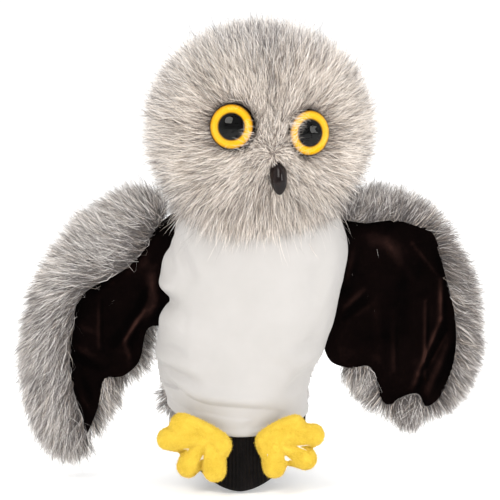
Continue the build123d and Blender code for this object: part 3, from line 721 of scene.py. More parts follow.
def head_fur(seed, count):
    rng = np.random.default_rng(seed)
    w = unit(rng.normal(0, 1, (count, 3)))
    face_c = w @ FACE_POLE
    # more strands on the face, where they are short
    w = w[rng.random(count) < np.where(face_c > 0.4, 1.0, 0.82)]
    keep = np.ones(len(w), bool)
    for place in (EYE_L, EYE_R):
        o, _, _, e = head_frame(place, SKIN)
        keep &= np.linalg.norm(HEAD + w * SKIN - o, axis=1) > 14.3
    o, bx, by, bw = head_frame(BEAK_AT, SKIN)
    d = HEAD + w * SKIN - o
    keep &= ((d @ bx) / 5.0) ** 2 + (((d @ by) + 0.5) / 8.0) ** 2 > 1
    keep &= w[:, 2] > -0.93
    w = w[keep]
    n = len(w)
    p = HEAD + w * skin_radius(w)[:, None]
    ang = np.degrees(np.arccos(np.clip(w @ FACE_POLE, -1, 1)))
    mer = w * (w @ FACE_POLE)[:, None] - FACE_POLE  # away from the face pole along the ball
    mer = unit(mer)
    down = unit(np.array([0.0, 0.0, -1.0]) + w * w[:, 2][:, None])
    k = np.clip((ang - 95) / 50, 0, 1)[:, None]
    comb = unit(mer * (1 - k) + (mer * 0.3 + down) * k)
    # the pile parts around each eye and lies outward round it
    length = np.interp(ang, [0, 14, 28, 50, 75, 110, 180], [5.5, 7.5, 11.0, 17.0, 24.5, 23.0, 19.0])
    lift = np.interp(ang, [0, 20, 60, 90, 180], [0.7, 0.5, 0.6, 0.85, 0.65])
    for place in (EYE_L, EYE_R):
        o, x, y, e = head_frame(place, SKIN)
        d = p - o
        r = np.linalg.norm(d, axis=1)
        around = unit(d - (d @ e)[:, None] * e)
        toward = -(around * mer).sum(1)  # positive where the pile would run over the eye
        near = np.clip(1 - (r - 14) / 12, 0, 1)
        inner_side = np.clip((around @ x) * (1 if place == EYE_L else -1), 0, 1)
        ease = 0.15 if place == EYE_L else 0.75
        turn = (near * np.where(toward > 0, 0.75, 0.5) * (1 - ease * inner_side))[:, None]
        comb = unit(comb * (1 - turn) + around * turn)
        length = length * (1 - near * np.where(toward > 0.2, 0.40, 0.12) * (1 - ease * inner_side))
    # a soft fan over the top of the beak
    d = p - o
    bo, bx, by, bw = head_frame(BEAK_AT, SKIN)
    d = p - bo
    r = np.linalg.norm(d, axis=1)
    near = np.clip(1 - (r - 5) / 9, 0, 1)
    above = (d @ by) > 2
    length = np.where(above, length * (1 - 0.25 * near), length * (1 - 0.35 * near))
    hang = np.clip((-w[:, 2] - 0.45) / 0.3, 0, 1)
    length = length * (1 + hang * (0.18 + 0.38 * np.exp(-(((p[:, 0] - 9) / 24.0) ** 2)))) * (1 - 0.14 * np.clip((w[:, 2] - 0.6) / 0.3, 0, 1))
    fall = hang[:, None] * 0.75
    comb = unit(comb * (1 - fall) + unit(np.array([0.0, 0.0, -1.0]) + 0.35 * w) * fall)
    # colour: warm pale face, cooler grey crown and rim, a dark streak above the brow
    face = np.clip(1 - (ang - 48) / 40, 0, 1)
    up = w[:, 2]
    fx = w @ np.array([math.cos(R(8)), math.sin(R(8)), 0])
    crown = np.clip((up - 0.52) / 0.3, 0, 1) * np.clip(1 - np.abs(fx + 0.04) / 0.62, 0, 1)
    open_v = 0.035 + 0.42 * np.clip(up - 0.28, 0, 1)
    edge_v = value_noise(p, 7.0, 6)
    streak = (np.exp(-((fx + 0.02 + 0.04 * edge_v) / open_v) ** 2) * np.clip((up - 0.22) / 0.2, 0, 1)
              * np.interp(up, [0.2, 0.5, 0.8, 1.0], [1.0, 0.75, 0.4, 0.2]) * (w[:, 1] < 0.2))
    chin = np.exp(-((up + 0.66) / 0.12) ** 2) * (w[:, 1] < 0.2)
    rim = np.clip((ang - 62) / 25, 0, 1)
    patch = value_noise(p, 13.0, 7) * 0.5 + value_noise(p, 5.0, 8) * 0.5
    light = 0.80 + 0.06 * crown - 0.26 * streak - 0.16 * chin + 0.03 * rim + 0.26 * patch
    # painted shade: the fur is darker in a ring where it meets each eye dome
    for place in (EYE_L, EYE_R):
        o, _, _, _ = head_frame(place, SKIN)
        near = np.clip(1 - (np.linalg.norm(p - o, axis=1) - 14.5) / 5.5, 0, 1)
        light -= 0.22 * near
    dark = np.clip(0.20 + 0.02 * crown + 0.33 * streak + 0.16 * chin + 0.03 * rim - 0.20 * patch, 0.03, 0.75)
    v = np.clip(rng.normal(light, 0.25, n), 0.02, 0.99)
    is_dark = rng.random(n) < dark
    v = np.where(is_dark, rng.uniform(0.0, 0.30, n), v)
    warm = rng.random(n) < np.clip(0.9 * face - 0.4 * crown - 0.5 * streak - 0.2 * chin + 0.16, 0.10, 0.95)
    sh = np.where(warm, 0.006 + 0.48 * v, 0.515 + 0.48 * v)
    return p, w, comb, length, lift, sh


total = int(150000 * DENS)
parts = 6
for i in range(parts):
    p, w, comb, length, lift, sh = head_fur(100 + i, total // parts)
    fur = strands(f"head_fur_{i + 1}", p, w, comb, length, 0.31, sh, 200 + i, lift=lift,
                  splay=0.23, wave=0.34, clump=0.42, per_clump=13, droop=0.06, keep_out=eye_keep_out)
    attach(fur, "head")
    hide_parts("head_face_panel", "head_back_left_panel", "head_back_right_panel")


rng = np.random.default_rng(260)
loose = []
for place, count in ((EYE_L, 16), (EYE_R, 26)):
    o, x, y, e = head_frame(place, SKIN)
    a = rng.uniform(-1.9, 0.4, count) if place == EYE_L else rng.uniform(2.0, 4.6, count)
    away = np.cos(a)[:, None] * x + np.sin(a)[:, None] * y
    loose.append((o + away * 15.0 + e * 1.5, np.tile(e, (count, 1)), unit(-away + rng.normal(0, 0.45, (count, 3)))))
    more = 90 if place == EYE_R else 34
    a = rng.uniform(2.2, 4.1, more) if place == EYE_R else rng.uniform(-1.3, 0.1, more)
    away = np.cos(a)[:, None] * x + np.sin(a)[:, None] * y
    lean = -0.75 * away + (0.35 if place == EYE_R else -0.3) * y
    loose.append((o + away * rng.uniform(14.6, 17.5, (more, 1)) + e * 0.5, np.tile(e, (more, 1)),
                  unit(lean + rng.normal(0, 0.28, (more, 3)))))
p, w, comb = (np.concatenate(c) for c in zip(*loose))
n = len(p)
fur = strands("head_loose_hairs", p, w, comb, rng.uniform(7, 12, n), 0.2, rng.uniform(0.2, 0.49, n), 261, lift=0.9,
              splay=0.2, wave=0.5, clump=0, segs=8, keep_out=eye_keep_out)
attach(fur, "head")
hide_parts("head_face_panel")


p, w, comb, length, lift, sh = head_fur(150, int(15000 * DENS))
rng = np.random.default_rng(151)
tick = np.where(rng.random(len(p)) < 0.38, 0.515 + 0.08 * rng.random(len(p)), 0.38 + 0.11 * rng.random(len(p)))
fur = strands("head_guard_hairs", p, w, comb, length * 1.25, 0.22, tick, 250, lift=lift + 0.1, splay=0.34, wave=0.5,
              clump=0.22, per_clump=6, segs=5, keep_out=eye_keep_out)
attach(fur, "head")
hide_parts("head_face_panel", "head_back_left_panel", "head_back_right_panel")


# --------------------------------------------------------------------------- eyes
def place_local(co, fr):
    o, x, y, w = fr
    return o + co[:, :1] * x + co[:, 1:2] * y + co[:, 2:] * w


def lathe(profile, n=96):
    """Round piece from (radius, height) points; the first and last radius may be zero."""
    prof = np.asarray(profile, float)
    th = np.linspace(0, 2 * np.pi, n, endpoint=False)
    co = np.stack([prof[:, 0][:, None] * np.cos(th), prof[:, 0][:, None] * np.sin(th),
                   np.repeat(prof[:, 1][:, None], n, 1)], -1).reshape(-1, 3)
    return co, grid_faces(len(prof), n, wrap=True)


def clean(ob, dist=1e-6):
    import bmesh
    bm = bmesh.new()
    bm.from_mesh(ob.data)
    bmesh.ops.remove_doubles(bm, verts=bm.verts, dist=dist)
    bmesh.ops.dissolve_degenerate(bm, edges=bm.edges, dist=dist)
    bmesh.ops.recalc_face_normals(bm, faces=bm.faces)
    bm.to_mesh(ob.data)
    bm.free()
    for f in ob.data.polygons:
        f.use_smooth = True
    return ob


# iris disc: black pupil, orange-yellow ring, black edge, shaded by distance from its centre
def iris_material(name, origin, axis_x, axis_y):
    m = new_material(name, (0.9, 0.5, 0.02), 0.5, Specular_IOR_Level=0.0)
    co = obj_coords(m)
    sub = add(m, "ShaderNodeVectorMath", operation="DISTANCE")
    link(m, co, sub.inputs[0])
    sub.inputs[1].default_value = tuple(float(c) * 0.001 for c in origin)
    scale = add(m, "ShaderNodeMath", operation="MULTIPLY")
    scale.inputs[1].default_value = 1000.0 / 16.0
    link(m, sub.outputs["Value"], scale.inputs[0])
    grain = noise_node(m, 420.0, 3.0, 0.6, co)
    wob = add(m, "ShaderNodeMath", operation="MULTIPLY_ADD")
    link(m, grain.outputs[0], wob.inputs[0])
    wob.inputs[1].default_value = 0.016
    link(m, scale.outputs[0], wob.inputs[2])
    c = ramp(m, [(0.0, (0.002, 0.002, 0.002)), (0.455, (0.002, 0.002, 0.002)), (0.478, (0.35, 0.15, 0.004)),
                 (0.52, (0.85, 0.46, 0.006)), (0.64, (0.95, 0.58, 0.008)), (0.74, (0.80, 0.40, 0.005)),
                 (0.785, (0.42, 0.17, 0.004)), (0.805, (0.02, 0.01, 0.005)), (0.83, (0.004, 0.003, 0.003))])
    link(m, wob.outputs[0], c.inputs[0])
    link(m, c.outputs[0], bsdf(m).inputs["Base Color"])
    return m


for side, place in (("left", EYE_L), ("right", EYE_R)):
    fr = head_frame(place, 55.3)
    # clear dome with a rounded rim
    base = math.sqrt(16.0**2 - 14.0**2)
    prof = [(0, -0.55), (13.2, -0.55), (13.7, -0.45), (13.95, 0.1), (14.0, 0.8)]
    prof += [(16.0 * math.sin(a), 1.0 + 16.0 * math.cos(a) - base) for a in np.linspace(math.asin(14 / 16), 0, 26)]
    prof[-1] = (0, prof[-1][1])
    co, q = lathe([(max(r, 1e-4), h) for r, h in prof], 128)
    dome = clean(make(f"eye_{side}_dome", place_local(co, fr), q, mat=LENS))
    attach(dome, "head")
    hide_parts(f"eye_{side}_lens")
    # coloured backing: a disc with a raised black pupil, and the post behind it
    fr = head_frame(place, 54.1)
    prof = [(1e-4, 1.12), (7.0, 1.12), (7.3, 1.06), (7.5, 1.0), (13.6, 0.9), (14.25, 0.75), (14.3, 0.3), (14.0, 0.0),
            (3.4, 0.0), (3.0, -0.5), (3.0, -3), (2.7, -3.4), (3.0, -3.8), (3.0, -6), (2.7, -6.4), (3.0, -6.8),
            (3.0, -11.2), (2.2, -12.0), (1e-4, -12.0)]
    co, q = lathe(prof, 96)
    disc = clean(make(f"eye_{side}_disc", place_local(co, fr), q, mat=iris_material(f"amber_iris_{side}", fr[0], fr[1], fr[2])))
    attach(disc, "head")
    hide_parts(f"eye_{side}_iris")

# --------------------------------------------------------------------------- beak
fr = head_frame(BEAK_AT, 53.6)
T, U = np.meshgrid(np.linspace(0, 2 * np.pi, 64, endpoint=False), np.linspace(0, np.pi / 2, 34))
taper = np.cos(U) ** 0.62
low = np.clip(-np.sin(T), 0, 1)
x = 5.5 * taper * np.cos(T) * (1 - 0.12 * low**2) * (1 - 0.22 * np.clip(np.sin(T), 0, 1) ** 2)
y = 8.8 * taper * np.sin(T) + 0.6 - 5.2 * np.sin(U) ** 1.6
co = np.stack([x, y, 13.6 * np.sin(U)], -1).reshape(-1, 3)
bk = make("beak_shell", place_local(co, fr), grid_faces(34, 64, wrap=True), mat=BLACK)
clean(bk, 1e-5)
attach(bk, "head")
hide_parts("beak")

# -------------------------------------------------------------------------- wings
CUP_R, CUP_Y = 150.0, -146.4
WINGS = {
    "left": dict(
        side=-1, cup_x=-98.0, start=(-0.040, 0.0, 0.110), end=(-0.062, 0.0, 0.110),
        lining=[(-41, 141), (-37, 138), (-40, 119), (-45, 98.5), (-42, 84), (-45, 72), (-55, 69.5), (-59, 64.5),
                (-63, 47), (-73, 37.5), (-84, 35), (-87.5, 21.5), (-92, 9), (-96.5, 0), (-99, 8.5), (-104.5, 26),
                (-107, 42.5), (-107, 60.5), (-104.5, 75), (-101, 86.5), (-93, 93.5), (-85, 98.5), (-73, 105),
                (-60.5, 117), (-52.5, 131)],
        skin=[(-47, 142), (-56, 147), (-68, 146), (-80, 139), (-92, 126), (-106, 110), (-117, 95), (-124.5, 76),
              (-128, 53), (-127, 31), (-122, 11), (-114, -2), (-101, -4), (-94, 5), (-86, 22), (-76, 38), (-66, 46),
              (-60, 64), (-56, 76), (-55, 90), (-56, 104), (-52, 124)],
        tip=(-97, -2), root=(-46, 135),
    ),
    "right": dict(
        side=1, cup_x=101.0, start=(0.062, 0.0, 0.110), end=(0.084, 0.0, 0.110),
        lining=[(60, 136), (58, 133), (61, 121), (60, 104), (57, 88), (55, 76), (52, 68), (52, 58), (57, 47),
                (70, 42.5), (81, 42), (88, 23.5), (93, 19), (104, 24), (111, 25), (115.5, 18), (122.5, 21.5),
                (129.5, 33), (134, 49), (135, 65), (133.5, 80), (129.5, 96.5), (123.5, 117.5), (118.5, 128),
                (108, 133), (95, 136), (78, 134.5), (71, 135.5)],
        skin=[(62, 138), (68, 144), (84, 144), (98, 142), (111, 136), (122, 124), (132, 106), (138, 84), (140, 60),
              (136, 40), (127, 25), (114, 16), (98, 17), (87, 23), (79, 36), (68, 41), (61, 54), (63, 76), (67, 100),
              (67, 122)],
        tip=(112, 12), root=(66, 135),
    ),
}


def cup(xz, radius, cx):
    """Places flat wing points (x, z) on the cupped surface of the given radius."""
    x, z = xz[:, 0], xz[:, 1]
    y = CUP_Y + np.sqrt(np.maximum(radius**2 - (x - cx) ** 2, 1.0))
    return np.stack([x, y, z], 1)


def cup_normal(xz, radius, cx):
    x = xz[:, 0]
    y = np.sqrt(np.maximum(radius**2 - (x - cx) ** 2, 1.0))
    return unit(np.stack([x - cx, y, np.zeros(len(x))], 1))


# ridges and folds in the velvet: x0, z0, x1, z1, width, height toward the viewer
RIDGES = {
    "left": [(-46, 138, -58, 122, 2.2, 1.5), (-58, 122, -87, 98, 2.4, 1.8), (-60, 116, -90, 90, 3.0, -1.5),
             (-53, 104, -50, 84, 4.5, 2.6), (-50, 84, -59, 70, 3.5, 1.8), (-57, 92, -62, 76, 2.6, -1.6),
             (-59, 78, -70, 60, 2.4, 2.4), (-70, 60, -66, 45, 2.6, 1.8), (-64, 76, -77, 56, 2.8, -1.4),
             (-106, 51, -86, 39, 2.4, -1.6), (-104, 56, -84, 45, 2.8, 1.4), (-87, 86, -87, 54, 1.6, 1.0),
             (-103, 30, -90, 12, 2.2, 1.5), (-97, 34, -90, 20, 2.2, -1.2), (-102, 70, -88, 62, 3.0, 0.9),
             (-52, 124, -60, 104, 4.0, 1.2)],
    "right": [(78, 127, 108, 110, 6.0, 2.0), (92, 122, 112, 92, 3.0, 1.4), (108, 120, 126, 98, 2.0, 2.2),
              (126, 98, 126, 73, 2.0, 2.4), (126, 73, 112, 38, 2.0, 2.2), (112, 38, 108, 26, 2.2, 1.4),
              (134, 64, 118, 26, 3.0, 2.0), (128, 66, 114, 40, 1.8, -1.8), (116, 84, 116, 36, 1.4, 1.3),
              (104, 100, 104, 60, 5.0, -1.0), (65, 80, 77, 91, 2.4, 1.6), (66, 74, 80, 84, 2.4, -1.1),
              (86, 86, 88, 46, 3.4, 0.9), (96, 70, 97, 40, 1.6, 0.7), (72, 120, 66, 96, 3.0, 1.2),
              (118, 128, 130, 96, 2.4, -1.0)],
}


def ridge_height(side, x, z):
    h = np.zeros(len(x))
    for x0, z0, x1, z1, w, height in RIDGES[side]:
        ab = np.array([x1 - x0, z1 - z0])
        t = np.clip(((x - x0) * ab[0] + (z - z0) * ab[1]) / (ab @ ab), 0, 1)
        d2 = (x - x0 - t * ab[0]) ** 2 + (z - z0 - t * ab[1]) ** 2
        h += height * np.exp(-d2 / (w * w)) * np.sin(np.pi * np.clip(t * 0.8 + 0.1, 0, 1)) ** 0.6
    return h


for side, W in WINGS.items():
    cx = W["cup_x"]
    lin = closed_curve(W["lining"], 2.0)
    CUT[f"wing_{side}_velvet"] = cut_of_outline(lin)
    skin = closed_curve(W["skin"], 2.5)

    # velvet lining, slightly loose over the stuffing
    v2, f2 = fill_outline(lin, 1.0)
    d, _ = outline_distance(lin, v2)
    soft = np.clip(d / 7.0, 0, 1)
    h = 1.2 * soft + ridge_height(side, v2[:, 0], v2[:, 1]) * soft
    p3 = np.concatenate([v2, np.zeros((len(v2), 1))], 1)
    h = h + 0.5 * value_noise(p3, 9.0, 21) * soft + 0.25 * value_noise(p3, 4.0, 22) * soft
    co = cup(v2, CUP_R - 1.0, cx)
    co -= cup_normal(v2, CUP_R, cx) * h[:, None]
    area2 = np.cross(v2[f2[:, 1]] - v2[f2[:, 0]], v2[f2[:, 2]] - v2[f2[:, 0]])
    f2 = np.where(area2[:, None] > 0, f2, f2[:, ::-1])
    # painted highlight: the velvet's colour is lighter on ridges and on slopes that face up and to the left, toward the
    # key light, over a random nap tone
    rh = ridge_height(side, v2[:, 0], v2[:, 1]) * soft
    slope = (ridge_height(side, v2[:, 0] + 0.5, v2[:, 1] - 0.5) - ridge_height(side, v2[:, 0] - 0.5, v2[:, 1] + 0.5)) * soft
    ridge_highlight = np.clip(0.16 + 0.10 * rh + 0.35 * slope + 0.12 * value_noise(p3, 22.0, 23), 0, 0.9)
    velvet = make(f"wing_{side}_velvet", co, None, f2, VELVET)
    velvet.data.attributes.new("nap_and_highlight", "FLOAT", "POINT").data.foreach_set("value", ridge_highlight.astype(np.float32))
    modifier(velvet, "SOLIDIFY", thickness=0.0011, offset=-1.0)
    apply_all(velvet)
    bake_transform(velvet)
    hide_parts(f"wing_{side}_lining")

    # fur cloth pillow behind it, edge rolled round to the front
    v2, f2 = fill_outline(skin, 2.4)
    d, _ = outline_distance(skin, v2)
    dl, _ = outline_distance(lin, v2)
    rim = np.sqrt(np.clip(1 - (1 - np.clip(d / 8.0, 0, 1)) ** 2, 0, 1))
    back_h = CUP_R + 5.0 + 8.0 * rim
    # in front the cloth rolls over the lining's edge, then runs under it
    front_h = CUP_R + 5.0 - 8.5 * rim * np.clip(1 - (dl + 1.0) / 4.0, 0, 1) - 3.5 * rim * np.clip((dl + 1.0) / 4.0, 0, 1)
    back_co = cup(v2, back_h, cx)
    front_co = cup(v2, front_h, cx)
    nv = len(v2)
    area2 = np.cross(v2[f2[:, 1]] - v2[f2[:, 0]], v2[f2[:, 2]] - v2[f2[:, 0]])
    f2 = np.where(area2[:, None] > 0, f2, f2[:, ::-1])
    pillow = make(f"wing_{side}_cloth", np.concatenate([front_co, back_co]), None,
                  np.concatenate([f2, f2[:, ::-1] + nv]), UNDER_GREY)
    clean(pillow, 2e-5)
    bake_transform(pillow)
    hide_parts(f"wing_{side}_fur_panel")

    # pile: roots over the pillow's back, its rim, and the roll in front of the lining
    rng = np.random.default_rng(31 if side == "left" else 32)
    total = int((82000 if side == "left" else 80000) * DENS)
    lo, hi = skin.min(0), skin.max(0)
    xz = rng.uniform(lo, hi, (total * 3, 2))
    d, way = outline_distance(skin, xz)
    xz, d, way = xz[d > 0.3], d[d > 0.3], way[d > 0.3]
    dl, wayl = outline_distance(lin, xz)
    front = rng.random(len(xz)) < 0.5
    # in front only outside the lining (a thin overlap hides the seam); more strands on the roll
    clear_of_body = (xz[:, 0] < -53) if side == "left" else (xz[:, 0] > 68)
    top_edge = xz[:, 1] > 128
    ok = np.where(front, (dl < 0.6) & (clear_of_body | top_edge), (rng.random(len(xz)) < 0.55) & (clear_of_body | top_edge))
    xz, d, way, dl, wayl, front = xz[ok], d[ok], way[ok], dl[ok], wayl[ok], front[ok]
    if len(xz) > total:
        pick = rng.choice(len(xz), total, replace=False)
        xz, d, way, dl, wayl, front = xz[pick], d[pick], way[pick], dl[pick], wayl[pick], front[pick]
    n = len(xz)
    rim = np.sqrt(np.clip(1 - (1 - np.clip(d / 8.0, 0, 1)) ** 2, 0, 1))
    rad = np.where(front, CUP_R + 5.0 - 8.5 * rim, CUP_R + 5.0 + 8.0 * rim)
    root = cup(xz, rad, cx)
    nn = cup_normal(xz, CUP_R, cx)
    face = np.where(front, -1.0, 1.0)[:, None]
    edge = np.clip(1 - d / 8.0, 0, 1)[:, None]
    out3 = unit(np.stack([way[:, 0], np.zeros(n), way[:, 1]], 1))
    normal = unit(nn * face * (1.05 - edge) + out3 * edge)
    # flow: out from the lining edge, bending down the wing toward its tip
    tip, rt = np.array(W["tip"], float), np.array(W["root"], float)
    to_tip = unit(tip - xz)
    along = np.clip(((xz - rt) @ (tip - rt)) / ((tip - rt) @ (tip - rt)), 0, 1)
    outl = wayl  # away from the lining
    if side == "left":
        k_out = np.interp(along, [0, 0.12, 0.3, 0.6, 1], [1.0, 0.85, 0.6, 0.5, 0.5])
        inner_edge = (xz[:, 0] > -78) & (xz[:, 1] < 84)
        flow = unit(outl * k_out[:, None] + to_tip * (1 - k_out)[:, None])
        flow = np.where(inner_edge[:, None], unit(outl * 0.8 + np.array([0.05, -0.75])), flow)
    else:
        k_out = np.interp(along, [0, 0.3, 0.7, 1], [0.9, 0.8, 0.7, 0.75])
        flow = unit(outl * k_out[:, None] + np.array([0.12, -1.0]) * (0.42 * (xz[:, 1] < 118))[:, None]
                    + np.array([0.25, 0.0]) * (xz[:, 1] > 118)[:, None])
    comb = unit(np.stack([flow[:, 0], np.zeros(n), flow[:, 1]], 1))
    comb = unit(comb - nn * (comb * nn).sum(1, keepdims=True))
    # the back of the wing hangs down evenly
    back_flow = unit(np.array([0.25 * W["side"], 0, -1.0]) - nn * (np.array([0.25 * W["side"], 0, -1.0]) * nn).sum(1, keepdims=True))
    inner = np.clip(d / 14.0, 0, 1)[:, None] * (~front)[:, None]
    comb = unit(comb * (1 - inner) + back_flow * inner)
    length = np.where(front, np.interp(dl, [-30, -6, 0], [22.0, 20.0, 16.0]), 19.0)
    length = length * np.where(front & (along < 0.12), 0.75, 1.0)
    lift = np.where(front, np.interp(along, [0, 0.25, 1], [0.6, 0.45, 0.38]), 0.45)
    # colours: grey with dark ticking, darker just at the lining's edge and in patches
    patch = value_noise(root, 18.0, 9) * 0.6 + value_noise(root, 6.0, 10) * 0.4
    shadow = np.clip(1 + dl / 16.0, 0, 1) * (xz[:, 1] > 84) * (0.22 if side == "left" else 0.06)
    light = (0.77 if side == "left" else 0.83) + 0.26 * patch + 0.12 * np.clip(-dl / 14.0, 0, 1) - 0.12 * (dl > -3.0) * front - shadow
    v = np.clip(rng.normal(light, 0.30, n), 0.02, 0.98)
    dark = rng.random(n) < np.clip(0.38 - 0.22 * patch + 0.25 * ((dl > -5.0) & front) + 0.6 * shadow, 0.05, 0.8)
    v = np.where(dark, rng.uniform(0.0, 0.16, n), v)
    warm = rng.random(n) < 0.25
    sh = np.where(warm, 0.006 + 0.45 * v, 0.515 + 0.48 * v)
    pick = rng.choice(n, int(11000 * DENS), replace=False)
    pick = pick[np.where(front[pick], dl[pick] < -2.5, rng.random(len(pick)) < 0.5)]
    tick = np.where(rng.random(len(pick)) < 0.5, 0.52 + 0.06 * rng.random(len(pick)), 0.9 + 0.09 * rng.random(len(pick)))
    fur = strands(f"wing_{side}_guard_hairs", root[pick], normal[pick], comb[pick], length[pick] * 1.25, 0.24, tick, 330,
                  lift=lift[pick] + 0.12, splay=0.34, wave=0.45, clump=0.22, per_clump=6, droop=0.06, segs=5)
    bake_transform(fur)
    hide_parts(f"wing_{side}_fur_panel")
    pieces = 3
    part_of = np.arange(n) % pieces
    for i in range(pieces):
        m = part_of == i
        fur = strands(f"wing_{side}_fur_{i + 1}", root[m], normal[m], comb[m], length[m], 0.31, sh[m], 300 + i,
                      lift=lift[m], splay=0.23, wave=0.34, clump=0.64, per_clump=17, droop=0.08)
        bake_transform(fur)
        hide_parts(f"wing_{side}_fur_panel")

# ---------------------------------------------------------------------------- feet
FEET = {
    "left": dict(side=-1, palm=[(-19, 22.5), (10.5, 10.5), (10.5, -2), (-5, -7), (-18, 1), (-27, 12)],
                 toes=[((-6.5, 6), (-28, 5.5)), ((-6.5, 2), (-15, -10.5)), ((1, 1), (2.5, -12))],
                 webs=[((-8, 4), (-15.5, 0.4), 4.6), ((-3, 0), (-5.2, -5.6), 4.0)]),
    "right": dict(side=1, palm=[(-7, 11), (17, 21.5), (25, 12), (23, 3.5), (12, -8.5), (-4, -3.5)],
                  toes=[((9, 6.5), (29, 8)), ((9, 2), (24, -6.5)), ((4, 1), (3.5, -10))],
                  webs=[((14, 5), (24.0, 1.6), 3.2), ((8, -1), (13.3, -5.2), 3.2), ((11, 4), (19.5, 2.2), 4.4), ((7, 0), (11, -4.4), 4.6)]),
}


def foot_field(pts, F):
    """Signed distance in the foot's plane to its rounded outline (positive inside)."""
    palm = closed_curve(F["palm"], 1.5)
    d, _ = outline_distance(palm, pts)
    for a, b in F["toes"]:
        a, b = np.array(a, float), np.array(b, float)
        ab = b - a
        t = np.clip(((pts - a) @ ab) / (ab @ ab), 0, 1)
        r = 7.0 + 0.6 * np.sin(np.pi * t)
        dt = r - np.linalg.norm(pts - a - t[:, None] * ab, axis=1)
        k = 2.0  # rounded joins between toes and palm
        m = np.maximum(d, dt)
        d = m + k * np.log(np.exp((d - m) / k) + np.exp((dt - m) / k)) * 0.6
    for a, b, r in F["webs"]:
        a, b = np.array(a, float), np.array(b, float)
        ab = b - a
        t = np.clip(((pts - a) @ ab) / (ab @ ab), 0, 1)
        d = np.maximum(d, r - np.linalg.norm(pts - a - t[:, None] * ab, axis=1))
    return d


